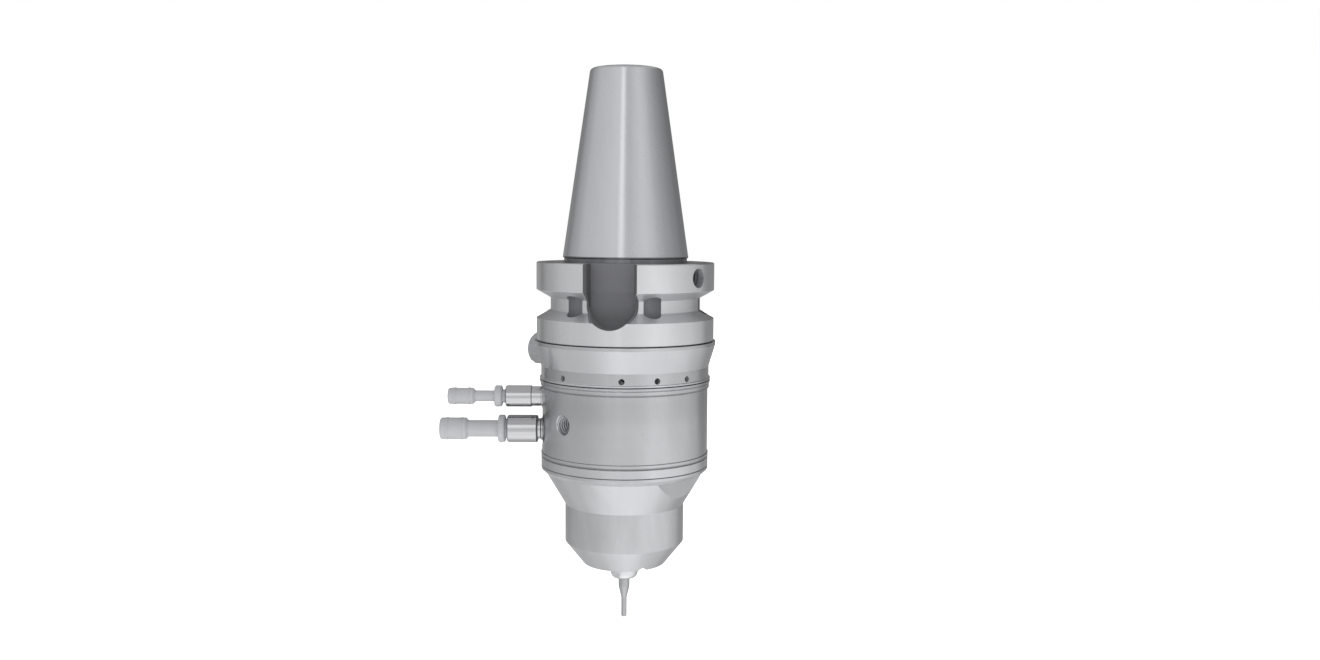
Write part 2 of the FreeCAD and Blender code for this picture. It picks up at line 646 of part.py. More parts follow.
def cut_keyways(body):
    half = s.keyway_width / 2
    reach = s.flange_radius + 1
    sketch = side_sketch(body, "keyway_profile", 0, 0, reach)
    right = Vector(half.value, s.keyway_end_centre.value, 0)
    left = Vector(-half.value, s.keyway_end_centre.value, 0)
    top = s.flange_top + 1
    lift = Vector(0, top.value - s.keyway_end_centre.value, 0)
    sketch.addGeometry(Part.LineSegment(left + lift, left), False)
    centre = Vector(0, s.keyway_end_centre.value, 0)
    circle = Part.Circle(centre, Vector(0, 0, 1), half.value)
    sketch.addGeometry(Part.ArcOfCircle(circle, math.pi, 2 * math.pi), False)
    sketch.addGeometry(Part.LineSegment(right, right + lift), False)
    sketch.addGeometry(Part.LineSegment(right + lift, left + lift), False)
    sketch.addConstraint(Sketcher.Constraint("Coincident", 0, 2, 1, 1))
    sketch.addConstraint(Sketcher.Constraint("Coincident", 1, 2, 2, 1))
    sketch.addConstraint(Sketcher.Constraint("Coincident", 2, 2, 3, 1))
    sketch.addConstraint(Sketcher.Constraint("Coincident", 3, 2, 0, 1))
    pin(sketch, 0, 1, -half, top)
    pin(sketch, 2, 2, half, top)
    pin(sketch, 0, 2, -half, s.keyway_end_centre)
    pin(sketch, 2, 1, half, s.keyway_end_centre)
    level = Sketcher.Constraint("DistanceY", -1, 1, 1, 3, s.keyway_end_centre.value)
    index = sketch.addConstraint(level)
    sketch.setExpression(f"Constraints[{index}]", s.keyway_end_centre.text)
    keyway = cut(body, "keyway", sketch, reach - s.keyway_floor)
    rim = root(s.flange_radius * s.flange_radius - half * half)
    inner = rim - s.keyway_chamfer
    outer = s.flange_radius + 1
    flare = outer - inner
    chamfers = top_sketch(body, "keyway_chamfer_profile", s.flange_top + 1)
    draw_outline(
        chamfers,
        [
            (-half, -inner),
            (-(half + flare), -outer),
            (half + flare, -outer),
            (half, -inner),
        ],
    )
    chamfer = cut(body, "keyway_chamfers", chamfers, s.flange_top + 1 - groove_floor_top)
    repeat(body, "two_keyways", [keyway, chamfer], 2)


def cut_shank_holes(body):
    x, y = on_circle(screw_circle, s.screw_first_turn)
    above = s.flange_top + 1
    access_sketch = top_sketch(body, "access_profile", above)
    draw_circle(access_sketch, x, y, s.screw_access_radius)
    access = cut(body, "access_hole", access_sketch, above - s.screw_seat)
    hole_sketch = top_sketch(body, "screw_hole_profile", s.screw_seat + 1)
    draw_circle(hole_sketch, x, y, s.screw_hole_radius)
    hole = cut(body, "screw_hole", hole_sketch, s.screw_seat + 2 - s.flange_bottom)
    repeat(body, "screw_holes", [access, hole], s.screw_count)
    reach = s.flange_radius + 1
    side = side_sketch(body, "side_hole_profile", s.side_hole_turn, s.side_hole_height, reach)
    draw_circle(side, 0, 0, s.side_hole_radius)
    cut(body, "side_hole", side, s.side_hole_depth + 1)


def make_bore_plug():
    bottom = s.plug_seat_top - s.plug_length
    radius = s.plug_seat_radius - s.fit
    body = turned(
        "bore_plug",
        [
            (0, s.plug_seat_top - s.fit),
            (radius - s.edge_break, s.plug_seat_top - s.fit),
            (radius, s.plug_seat_top - s.fit - s.edge_break),
            (radius, bottom + s.edge_break),
            (radius - s.edge_break, bottom),
            (0, bottom),
        ],
    )
    depth = s.plug_length / 2
    sketch = top_sketch(body, "plug_hex_profile", bottom + depth)
    draw_outline(sketch, hexagon(s.plug_hex))
    cut(body, "plug_hex_socket", sketch, depth + 1)


def make_flange_screws():
    body = new_body("flange_screws")
    x, y = on_circle(screw_circle, s.screw_first_turn)
    head_sketch = top_sketch(body, "head_profile", s.screw_seat + s.screw_head_height)
    draw_circle(head_sketch, x, y, s.screw_head_radius)
    head = raise_pad(body, "head", head_sketch, s.screw_head_height)
    stem_sketch = top_sketch(body, "stem_profile", s.screw_seat)
    draw_circle(stem_sketch, x, y, s.screw_radius)
    stem = raise_pad(body, "stem", stem_sketch, s.screw_length)
    hex_sketch = top_sketch(body, "hex_profile", s.screw_seat + s.screw_head_height)
    draw_outline(hex_sketch, hexagon(s.screw_hex, x, y))
    socket = cut(body, "hex_socket", hex_sketch, s.screw_hex_depth)
    repeat(body, "all_screws", [head, stem, socket], s.screw_count)
    turn_body(body, s.shank_turn)


# Vent ring, main housing and front housing


def make_vent_ring():
    bore = neck_radius + s.fit
    top = s.flange_bottom - s.seam
    bevel = s.seam
    body = turned(
        "vent_ring",
        [
            (bore, top),
            (s.vent_top_radius - bevel, top),
            (s.vent_top_radius, top - bevel),
            (s.vent_top_radius, s.vent_rim_bottom),
            (vent_band_radius, s.vent_cone_bottom),
            (vent_band_radius, s.vent_bottom + s.bead_height + bevel),
            (bead_radius, s.vent_bottom + s.bead_height - bevel),
            (bead_radius, s.vent_bottom + bevel),
            (bead_radius - bevel, s.vent_bottom),
            (bore, s.vent_bottom),
        ],
    )
    reach = s.vent_top_radius + 1
    depth = reach - plenum_radius - 1
    holes = []
    for k in range(3):
        turn = s.vent_hole_turn + s.vent_hole_pitch * k
        sketch = side_sketch(body, f"vent_profile_{k}", turn, s.vent_hole_height, reach)
        draw_circle(sketch, 0, 0, s.vent_hole_radius)
        holes.append(cut(body, f"vent_hole_{k}", sketch, depth))
    repeat(body, "vent_holes", holes, s.vent_groups)
    sketch = side_sketch(body, "socket_way_profile", s.sensor_turn, s.sensor_height, reach)
    draw_circle(sketch, 0, 0, s.socket_radius + s.socket_room)
    cut(body, "socket_way", sketch, depth)


def make_main_housing():
    neck_bottom = s.vent_bottom - s.seam
    chamber_radius = s.spigot_radius + s.fit
    bevel = s.seam
    notch_top = s.lower_bead_bottom
    body = turned(
        "main_housing",
        [
            (chamber_radius, s.flange_bottom),
            (neck_radius, s.flange_bottom),
            (neck_radius, s.plenum_top),
            (plenum_radius, s.plenum_top),
            (plenum_radius, s.plenum_bottom),
            (neck_radius, s.plenum_bottom),
            (neck_radius, neck_bottom),
            (bead_radius - bevel, neck_bottom),
            (bead_radius, neck_bottom - bevel),
            (bead_radius, s.upper_bead_bottom),
            (s.notch_radius, s.upper_bead_bottom - bevel * 3),
            (s.second_bead_radius, s.upper_bead_bottom - bevel * 5),
            (s.second_bead_radius, s.second_bead_bottom),
            (s.body_radius, s.second_bead_bottom - bevel * 3),
            (s.body_radius, s.body_bottom),
            (s.lower_bead_radius, s.body_bottom - bevel),
            (s.lower_bead_radius, notch_top),
            (s.body_radius, notch_top - bevel * 2),
            (s.skirt_radius, notch_top - bevel * 4),
            (s.skirt_radius, s.skirt_bottom + bevel),
            (s.skirt_radius - bevel, s.skirt_bottom),
            (s.front_thread_radius, s.skirt_bottom),
            (s.front_thread_radius, s.front_thread_top),
            (s.stack_radius, s.front_thread_top),
            (s.stack_radius, s.drive_ring_bottom),
            (s.drive_ring_radius, s.drive_ring_bottom),
            (s.drive_ring_radius, s.drive_ring_top),
            (s.stack_radius, s.drive_ring_top),
            (s.stack_radius, s.chamber_floor),
            (chamber_radius, s.chamber_floor),
        ],
    )
    cut_exhaust_ports(body)
    cut_housing_screw_holes(body)
    cut_side_flat(body)
    cut_air_ways(body)
    cut_sensor_way(body)
    cut_side_port(body)


def cut_exhaust_ports(body):
    reach = plenum_radius + 1
    sketch = side_sketch(body, "exhaust_profile", 0, s.exhaust_port_height, reach)
    draw_circle(sketch, 0, 0, s.exhaust_port_radius)
    port = cut(body, "exhaust_port", sketch, reach - s.spigot_radius + 1)
    repeat(body, "exhaust_ports", [port], s.exhaust_port_count)


def cut_housing_screw_holes(body):
    x, y = on_circle(screw_circle, housing_screw_turn)
    sketch = top_sketch(body, "tapped_profile", s.flange_bottom + 1)
    draw_circle(sketch, x, y, s.screw_radius + s.fit)
    depth = s.screw_length - (s.screw_seat - s.flange_bottom) + 2
    tapped = cut(body, "tapped_hole", sketch, depth)
    repeat(body, "tapped_holes", [tapped], s.screw_count)


def cut_side_flat(body):
    reach = s.body_radius + 1
    sketch = side_sketch(body, "flat_profile", s.fitting_turn, 0, reach)
    half = s.body_radius / 2
    draw_box(sketch, -half, half, s.side_flat_bottom, s.side_flat_top)
    cut(body, "side_flat", sketch, reach - s.side_flat_distance)


def cut_air_ways(body):
    reach = s.body_radius + 1
    drive = side_sketch(body, "drive_port_profile", s.fitting_turn, s.drive_height, reach)
    draw_circle(drive, 0, 0, s.drive_thread_radius + s.fit)
    cut(body, "drive_port", drive, reach - s.drive_port_floor)
    channel_turn = s.fitting_turn + s.channel_turn
    x, y = on_circle(s.channel_circle, channel_turn)
    channel = top_sketch(body, "channel_profile", s.channel_top)
    draw_circle(channel, x, y, s.channel_radius)
    cut(body, "drive_channel", channel, s.channel_top + 1 - s.skirt_bottom)
    link_height = (s.drive_ring_bottom + s.drive_ring_top) / 2
    link = side_sketch(body, "link_profile", channel_turn, link_height, s.channel_circle)
    draw_circle(link, 0, 0, s.link_radius)
    cut(body, "drive_link", link, s.channel_circle - s.stack_radius + 1)
    bearing = side_sketch(body, "bearing_port_profile", s.fitting_turn, s.bearing_height, reach)
    draw_circle(bearing, 0, 0, s.bearing_thread_radius + s.fit)
    cut(body, "bearing_port", bearing, reach - s.bearing_port_floor)
    drill = side_sketch(body, "bearing_drill_profile", s.fitting_turn, s.bearing_height, reach)
    draw_circle(drill, 0, 0, s.bearing_drill_radius)
    cut(body, "bearing_drill", drill, reach - s.stack_radius + 1)


def cut_sensor_way(body):
    reach = neck_radius + 1
    sketch = side_sketch(body, "sensor_way_profile", s.sensor_turn, s.sensor_height, reach)
    draw_circle(sketch, 0, 0, s.socket_stem_radius)
    cut(body, "sensor_way", sketch, reach - s.spigot_radius + 1)


def cut_side_port(body):
    reach = s.body_radius
    sketch = side_sketch(body, "side_port_profile", s.port_turn, s.port_height, reach)
    draw_circle(sketch, 0, 0, s.port_radius)
    cut(body, "side_port", sketch, s.port_depth)
    mouth = side_sketch(body, "side_port_mouth_profile", s.port_turn, s.port_height, reach)
    draw_circle(mouth, 0, 0, s.port_radius + s.port_chamfer)
    cut(body, "side_port_mouth", mouth, s.port_chamfer, -45)


def make_front_housing():
    spigot = s.front_thread_radius - s.fit
    top = s.skirt_bottom - s.fit
    bevel = s.seam
    body = turned(
        "front_housing",
        [
            (s.front_bore_radius, s.front_spigot_top),
            (spigot - s.edge_break, s.front_spigot_top),
            (spigot, s.front_spigot_top - s.edge_break),
            *seal_groove(spigot, s.front_seal_height),
            (spigot, top),
            (s.skirt_radius - bevel, top),
            (s.skirt_radius, top - bevel),
            (s.skirt_radius, s.rim_bottom),
            (s.cone_top_radius, s.cone_top),
            (s.nose_radius, s.cone_bottom),
            (s.nose_radius, s.nose_cone_top),
            (s.nose_end_radius, s.nose_end),
            (s.nose_ring_radius, s.nose_end),
            (s.nose_ring_radius, s.nose_ring_seat),
            (s.nose_lip_radius, s.nose_ring_seat),
            (s.nose_lip_radius, s.front_bore_bottom),
            (s.front_bore_radius, s.front_bore_bottom),
        ],
    )
    reach = s.skirt_radius + 1
    flat = side_sketch(body, "wrench_profile", s.wrench_flat_turn, 0, reach)
    draw_box(flat, -s.nose_radius, s.nose_radius, s.cone_bottom, s.cone_top)
    wrench = cut(body, "wrench_flat", flat, reach - s.wrench_flat_distance)
    repeat(body, "wrench_flats", [wrench], 2)
    rim = s.nose_end_radius + 1
    centre = s.nose_end + s.spanner_groove_depth - s.spanner_groove_radius
    groove = side_sketch(body, "spanner_profile", s.spanner_groove_turn, centre, rim)
    draw_circle(groove, 0, 0, s.spanner_groove_radius)
    spanner = cut(body, "spanner_groove", groove, rim - s.nose_ring_radius + 1)
    repeat(body, "spanner_grooves", [spanner], 2)


def make_nose_ring():
    outer = s.nose_ring_radius - s.fit
    turned(
        "nose_ring",
        [
            (s.nose_ring_bore, s.nose_ring_seat - s.fit),
            (outer, s.nose_ring_seat - s.fit),
            (outer, s.nose_end + s.edge_break),
            (s.nose_ring_bore + s.edge_break, s.nose_end + s.edge_break),
            (s.nose_ring_bore, s.nose_end + s.edge_break * 2),
        ],
    )


# Turbine and bearing stack


def make_nozzle_ring():
    body = turned(
        "nozzle_ring",
        [
            (s.nozzle_bore, s.chamber_floor),
            (stack_outer, s.chamber_floor),
            (stack_outer, s.rear_body_top),
            (s.nozzle_bore, s.rear_body_top),
        ],
    )
    reach = s.stack_radius + 1
    sketch = side_sketch(body, "nozzle_profile", 0, s.nozzle_level, reach)
    draw_box(
        sketch,
        s.nozzle_offset - s.nozzle_width / 2,
        s.nozzle_offset + s.nozzle_width / 2,
        -(s.nozzle_height / 2),
        s.nozzle_height / 2,
    )
    nozzle = cut(body, "nozzle", sketch, reach)
    repeat(body, "nozzles", [nozzle], s.nozzle_count)


def make_rear_bearing_body():
    groove_top = s.bearing_height + s.bearing_groove_width / 2
    groove_bottom = s.bearing_height - s.bearing_groove_width / 2
    groove_floor = stack_outer - s.bearing_groove_depth
    body = turned(
        "rear_bearing_body",
        [
            (s.rear_body_bore, s.rear_body_top),
            (stack_outer, s.rear_body_top),
            (stack_outer, groove_top),
            (groove_floor, groove_top),
            (groove_floor, groove_bottom),
            (stack_outer, groove_bottom),
            *seal_groove(stack_outer, s.rear_seal_one),
            *seal_groove(stack_outer, s.rear_seal_two),
            (stack_outer, s.rear_body_bottom),
            (s.rear_body_bore, s.rear_body_bottom),
        ],
    )
    reach = s.stack_radius + 1
    sketch = side_sketch(body, "feed_profile", 0, s.bearing_height, reach)
    draw_circle(sketch, 0, 0, s.feed_hole_radius)
    feed = cut(body, "feed_hole", sketch, reach - s.rear_body_bore + 1)
    repeat(body, "feed_holes", [feed], s.feed_hole_count)


def make_rear_bush():
    outer = s.rear_body_bore - s.fit
    bore = s.journal_radius + s.fit
    top = s.rear_body_top - s.bush_recess
    bottom = s.rear_body_bottom + s.bush_recess
    groove_top = s.bearing_height + s.bearing_groove_width / 2
    groove_bottom = s.bearing_height - s.bearing_groove_width / 2
    turned(
        "rear_bush",
        [
            (bore, top),
            (outer, top),
            (outer, groove_top),
            (outer - s.bearing_groove_depth, groove_top),
            (outer - s.bearing_groove_depth, groove_bottom),
            (outer, groove_bottom),
            (outer, bottom),
            (bore, bottom),
        ],
    )


def make_thrust_plate(label, top):
    bottom = top - s.thrust_plate_height
    body = turned(
        label,
        [
            (s.thrust_plate_bore, top),
            (stack_outer, top),
            (stack_outer, bottom),
            (s.thrust_plate_bore, bottom),
        ],
    )
    sketch = top_sketch(body, label + "_orifice_profile", top + 1)
    draw_circle(sketch, s.orifice_circle, 0, s.orifice_radius)
    orifice = cut(body, label + "_orifice", sketch, s.thrust_plate_height + 2)
    repeat(body, label + "_orifices", [orifice], s.feed_hole_count)


def make_thrust_spacer():
    turned(
        "thrust_spacer",
        [
            (s.spacer_bore, thrust_top),
            (stack_outer, thrust_top),
            (stack_outer, thrust_bottom),
            (s.spacer_bore, thrust_bottom),
        ],
    )


def make_front_bush():
    outer = s.front_bore_radius - s.fit
    bore = s.journal_radius + s.fit
    top = s.front_spigot_top - s.bush_recess
    bottom = s.front_bore_bottom + s.bush_recess
    groove_top = s.front_feed_height + s.bearing_groove_width / 2
    groove_bottom = s.front_feed_height - s.bearing_groove_width / 2
    turned(
        "front_bush",
        [
            (bore, top),
            (outer, top),
            *seal_groove(outer, s.front_bush_seal_one),
            (outer, groove_top),
            (outer - s.bearing_groove_depth, groove_top),
            (outer - s.bearing_groove_depth, groove_bottom),
            (outer, groove_bottom),
            *seal_groove(outer, s.front_bush_seal_two),
            (outer, bottom),
            (bore, bottom),
        ],
    )


def make_seals():
    seal_rings("shank_seal", s.spigot_radius, [s.shank_seal_height])
    seal_rings("bearing_seals", stack_outer, [s.rear_seal_one, s.rear_seal_two])
    seal_rings("front_seal", s.front_thread_radius - s.fit, [s.front_seal_height])
    seal_rings(
        "front_bush_seals",
        s.front_bore_radius - s.fit,
        [s.front_bush_seal_one, s.front_bush_seal_two],
    )


# Rotor


def make_spindle_shaft():
    turned(
        "spindle_shaft",
        [
            (0, s.shaft_top),
            (s.stud_radius - s.edge_break, s.shaft_top),
            (s.stud_radius, s.shaft_top - s.edge_break),
            (s.stud_radius, s.wheel_top),
            (s.wheel_seat_radius, s.wheel_top),
            (s.wheel_seat_radius, s.shaft_shoulder),
            (s.journal_radius, s.shaft_shoulder),
            (s.journal_radius, thrust_top - s.fit),
            (s.thrust_disc_radius, thrust_top - s.fit),
            (s.thrust_disc_radius, thrust_bottom + s.fit),
            (s.journal_radius, thrust_bottom + s.fit),
            (s.journal_radius, s.journal_end + s.edge_break),
            (s.journal_radius - s.edge_break, s.journal_end),
            (s.shaft_neck_radius, s.journal_end),
            (s.shaft_neck_radius, s.nut_thread_top),
            (s.nut_thread_radius, s.nut_thread_top),
            (s.nut_thread_radius, s.shaft_end),
            (s.seat_mouth_radius, s.shaft_end),
            (s.collet_bore_radius, s.seat_taper_top),
            (s.collet_bore_radius, s.collet_bore_top),
            (s.air_bore_radius, s.collet_bore_top),
            (s.air_bore_radius, s.air_bore_top),
            (0, s.air_bore_top),
        ],
    )


def make_turbine_wheel():
    bore = s.wheel_seat_radius + s.fit / 2
    bottom = s.shaft_shoulder + s.fit
    body = turned(
        "turbine_wheel",
        [
            (bore, s.wheel_top),
            (s.wheel_hub_radius, s.wheel_top),
            (s.wheel_hub_radius, s.wheel_rim_top),
            (s.wheel_rim_radius, s.wheel_rim_top),
            (s.wheel_rim_radius, bottom),
            (bore, bottom),
        ],
    )
    sketch = top_sketch(body, "blade_profile", s.wheel_rim_top)
    draw_blade(sketch)
    blade = raise_pad(body, "blade", sketch, s.wheel_rim_top - bottom)
    repeat(body, "blades", [blade], s.blade_count)


def draw_blade(sketch):
    """A crescent between two arcs, from inside the rim to the blade tip."""
    foot_radius = s.wheel_rim_radius - s.edge_break
    foot = on_circle(foot_radius, s.blade_turn)
    heel = on_circle(foot_radius, -s.blade_turn)
    tip = on_circle(s.blade_tip_radius, s.blade_turn)
    add_arc(sketch, foot, tip, s.blade_bulge)
    add_arc(sketch, heel, tip, s.blade_back)
    corners = [Vector(x.value, y.value, 0) for x, y in (foot, heel)]
    sketch.addGeometry(Part.LineSegment(corners[0], corners[1]), False)
    sketch.addConstraint(Sketcher.Constraint("Coincident", 2, 1, 0, 1))
    sketch.addConstraint(Sketcher.Constraint("Coincident", 2, 2, 1, 1))
    sketch.addConstraint(Sketcher.Constraint("Coincident", 0, 2, 1, 2))
    pin(sketch, 2, 1, *foot)
    pin(sketch, 2, 2, *heel)
    pin(sketch, 0, 2, *tip)


def add_arc(sketch, start, end, radius):
    """A counter-clockwise arc of a radius from start to end, shorter than half a circle."""
    first = Vector(start[0].value, start[1].value, 0)
    last = Vector(end[0].value, end[1].value, 0)
    chord = last - first
    rise = math.sqrt(radius.value ** 2 - chord.Length ** 2 / 4)
    centre = (first + last) * 0.5 + Vector(-chord.y, chord.x, 0).normalize() * rise
    begin = math.atan2(first.y - centre.y, first.x - centre.x)
    finish = math.atan2(last.y - centre.y, last.x - centre.x)
    if finish < begin:
        finish += 2 * math.pi
    circle = Part.Circle(centre, Vector(0, 0, 1), radius.value)
    geometry = sketch.addGeometry(Part.ArcOfCircle(circle, begin, finish), False)
    bound = sketch.addConstraint(Sketcher.Constraint("Radius", geometry, radius.value))
    sketch.setExpression(f"Constraints[{bound}]", radius.text)


def make_turbine_nut():
    body = new_body("turbine_nut")
    sketch = top_sketch(body, "turbine_nut_profile", s.wheel_nut_top)
    draw_outline(sketch, hexagon(s.wheel_nut_flats))
    draw_circle(sketch, 0, 0, s.stud_radius + s.fit / 2)
    raise_pad(body, "turbine_nut_hex", sketch, s.wheel_nut_top - s.wheel_top - s.fit)


def make_speed_target():
    bottom = s.wheel_nut_top + s.fit
    body = turned(
        "speed_target",
        [
            (s.stud_radius + s.fit / 2, s.target_top),
            (s.target_radius, s.target_top),
            (s.target_radius, bottom),
            (s.stud_radius + s.fit / 2, bottom),
        ],
    )
    sketch = top_sketch(body, "notch_profile", s.target_top + 1)
    half = s.target_notch / 2
    draw_box(sketch, s.target_radius - s.target_notch, s.target_radius + 1, -half, half)
    notch = cut(body, "target_notch", sketch, s.target_top - bottom + 2)
    repeat(body, "target_notches", [notch], 2)


def make_collet():
    bore = s.tool_radius + s.fit / 2
    rear = s.collet_bore_radius - s.fit
    slope = (s.seat_mouth_radius - s.collet_bore_radius) / (s.seat_taper_top - s.shaft_end)
    head = rear + slope * (s.seat_taper_top - s.collet_head)
    body = turned(
        "collet",
        [
            (bore, s.collet_top),
            (rear - s.edge_break / 2, s.collet_top),
            (rear, s.collet_top - s.edge_break / 2),
            (rear, s.seat_taper_top),
            (head, s.collet_head),
            (s.collet_end_radius, s.collet_end),
            (bore, s.collet_end),
        ],
    )
    sketch = top_sketch(body, "slot_profile", s.collet_slot_top)
    half = s.collet_slot / 2
    draw_box(sketch, bore / 2, s.nut_thread_radius, -half, half)
    slot = cut(body, "collet_slot", sketch, s.collet_slot_top - s.collet_end + 1)
    repeat(body, "collet_slots", [slot], 3)


def make_collet_nut():
    thread = s.nut_thread_radius + s.fit
    body = turned(
        "collet_nut",
        [
            (thread, s.nut_top),
            (s.nut_radius - s.edge_break, s.nut_top),
            (s.nut_radius, s.nut_top - s.edge_break),
            (s.nut_radius, s.nut_end),
            (s.nut_exit_radius, s.nut_end),
            (s.nut_exit_radius, s.nut_cone_bottom),
            (s.collet_end_radius, s.nut_cone_bottom),
            (s.nut_cone_radius, s.nut_cone_top),
            (thread, s.nut_cone_top),
        ],
    )
    round_edge(body, "nut_front_round", body.Tip, s.nut_round, s.nut_radius, s.nut_end)
    reach = s.nut_radius + 1
    sketch = side_sketch(body, "nut_flat_profile", s.nut_flat_turn, 0, reach)
    draw_box(sketch, -reach, reach, s.nut_end - 1, s.nut_flat_top)
    flat = cut(body, "nut_flat", sketch, reach - s.nut_flat_distance)
    repeat(body, "nut_flats", [flat], 2)


def make_end_mill():
    body = turned(
        "end_mill",
        [
            (0, s.tool_top),
            (s.tool_radius - s.tool_edge, s.tool_top),
            (s.tool_radius, s.tool_top - s.tool_edge),
            (s.tool_radius, s.tool_shank_bottom),
            (s.cutter_radius, s.tool_neck_bottom),
            (s.cutter_radius, s.tool_end),
            (0, s.tool_end),
        ],
    )
    round_edge(body, "tip_round", body.Tip, s.tip_round, s.cutter_radius, s.tool_end)


# Air fittings, built along Z and laid on their side


class Fitting:
    """The sizes of one push-in fitting, taken from the sheet by the name of its air line."""

    def __init__(self, line):
        def take(name):
            return getattr(s, f"{line}_{name}")

        self.line = line
        self.height = take("height")
        self.thread = take("thread_radius")
        self.thread_end = take("thread_end")
        self.bore = take("bore")
        self.foot = take("foot_radius")
        self.foot_end = take("foot_end")
        self.collar = take("collar_radius")
        self.collar_end = take("collar_end")
        self.tube = take("tube_radius")
        self.tube_stop = take("tube_stop")
        self.stem = take("stem_radius")
        self.ring_gap = take("ring_gap")
        self.ring_width = take("ring_width")
        self.ring_rim = take("ring_rim")
        self.rod_end = take("rod_end")
        self.head = take("head_radius")
        self.head_end = take("head_end")
        self.tube_bore = self.tube + s.fit
        self.seal_start = self.tube_stop + s.seal_land
        self.seal_end = self.seal_start + s.tube_seal_length
        self.seal_room = self.tube_bore + s.tube_seal_wall
        self.grip_start = self.seal_end + s.grip_land
        self.grip_end = self.grip_start + s.grip_length
        self.base = s.side_flat_distance + s.fit


def lay_fitting(body, fitting):
    lay_along(body, s.fitting_turn, fitting.height)


def make_fitting_body(fitting, foot_outline):
    """The metal body: thread, foot, collar and the stepped bore for tube, seal and grip ring."""
    f = fitting
    body = turned(
        f"{f.line}_fitting_body",
        [
            (f.bore, f.thread_end),
            (f.thread, f.thread_end),
            (f.thread, f.base),
            *foot_outline,
            (f.collar, f.collar_end - s.collar_chamfer),
            (f.collar - s.collar_chamfer, f.collar_end),
            (f.stem, f.collar_end),
            (f.stem, f.grip_end),
            (f.seal_room, f.grip_end),
            (f.seal_room, f.grip_start),
            (f.tube_bore, f.grip_start),
            (f.tube_bore, f.seal_end),
            (f.seal_room, f.seal_end),
            (f.seal_room, f.seal_start),
            (f.tube_bore, f.seal_start),
            (f.tube_bore, f.tube_stop),
            (f.bore, f.tube_stop),
        ],
    )
    lay_fitting(body, f)


def make_fitting_insides(fitting):
    f = fitting
    inner = f.tube_bore
    outer = f.seal_room - s.fit
    seal = turned(
        f"{f.line}_tube_seal",
        [
            (inner, f.seal_start + s.fit),
            (outer, f.seal_start + s.fit),
            (outer, f.seal_end - s.fit),
            (inner, f.seal_end - s.fit),
        ],
    )
    lay_fitting(seal, f)
    grip = turned(
        f"{f.line}_grip_ring",
        [
            (inner, f.grip_start + s.fit),
            (outer, f.grip_start + s.grip_length / 2),
            (outer, f.grip_end - s.fit),
            (inner, f.grip_start + s.grip_length / 2),
        ],
    )
    sketch = top_sketch(grip, f"{f.line}_slot_profile", f.grip_end)
    half = s.grip_slot_width / 2
    draw_box(sketch, f.tube, f.seal_room - s.tube_seal_wall / 2, -half, half)
    slot = cut(grip, f"{f.line}_grip_slot", sketch, s.grip_length)
    repeat(grip, f"{f.line}_grip_slots", [slot], s.grip_slots)
    lay_fitting(grip, f)


def make_release_ring(fitting):
    f = fitting
    start = f.collar_end + f.ring_gap
    end = start + f.ring_width
    stem = f.stem - s.fit
    bevel = s.collar_chamfer
    body = turned(
        f"{f.line}_release_ring",
        [
            (f.tube_bore, f.grip_end + f.ring_gap + s.stem_run),
            (stem, f.grip_end + f.ring_gap + s.stem_run),
            (stem, start),
            (f.ring_rim - bevel, start),
            (f.ring_rim, start + bevel),
            (f.ring_rim, end - bevel),
            (f.ring_rim - bevel, end),
            (f.tube_bore, end),
        ],
    )
    lay_fitting(body, f)


def make_plug(fitting):
    f = fitting
    body = turned(
        f"{f.line}_plug",
        [
            (0, f.tube_stop + s.edge_break),
            (f.tube - s.edge_break, f.tube_stop + s.edge_break),
            (f.tube, f.tube_stop + s.edge_break * 2),
            (f.tube, f.rod_end),
            (f.head, f.rod_end + s.plug_shoulder),
            (f.head, f.head_end),
            (0, f.head_end),
        ],
    )
    round_edge(body, f"{f.line}_plug_round", body.Tip, s.plug_end_round, f.head, f.head_end)
    lay_fitting(body, f)


def make_fittings():
    drive = Fitting("drive")
    bearing = Fitting("bearing")
    make_fitting_body(
        drive,
        [
            (drive.foot, drive.base),
            (drive.foot, s.drive_foot_end),
            (s.drive_neck_radius, s.drive_foot_end + s.collar_chamfer),
            (s.drive_neck_radius, s.drive_neck_end),
            (drive.collar - s.collar_chamfer, s.drive_neck_end),
            (drive.collar, s.drive_neck_end + s.collar_chamfer),
        ],
    )
    make_fitting_body(
        bearing,
        [
            (bearing.foot, bearing.base),
            (bearing.foot, bearing.foot_end),
            (bearing.collar - s.seam, bearing.foot_end),
            (bearing.collar, bearing.foot_end + s.seam),
        ],
    )
    for fitting in (drive, bearing):
        make_fitting_insides(fitting)
        make_release_ring(fitting)
        make_plug(fitting)


# Speed sensor with its socket and cap, built along Z and laid on their side


def lay_sensor(body):
    lay_along(body, s.sensor_turn, s.sensor_height)


def make_sensor_socket():
    stem = s.socket_stem_radius - s.fit
    bore = s.sensor_radius + s.fit
    cup = s.sensor_head_radius + s.fit
    body = turned(
        "sensor_socket",
        [
            (bore, s.socket_stem_start),
            (stem, s.socket_stem_start),
            (stem, socket_start),
            (s.socket_radius, socket_start),
            (s.socket_radius, socket_end - s.edge_break),
            (s.socket_radius - s.edge_break, socket_end),
            (cup, socket_end),
            (cup, sensor_head_start),
            (bore, sensor_head_start),
        ],
    )
    lay_sensor(body)


def make_speed_sensor():
    start = s.target_radius + s.sensor_gap
    seat = sensor_head_start + s.fit
    body = turned(
        "speed_sensor",
        [
            (0, start),
            (s.sensor_radius, start),
            (s.sensor_radius, seat),
            (s.sensor_head_radius, seat),
            (s.sensor_head_radius, sensor_head_end),
            (0, sensor_head_end),
        ],
    )
    lay_sensor(body)


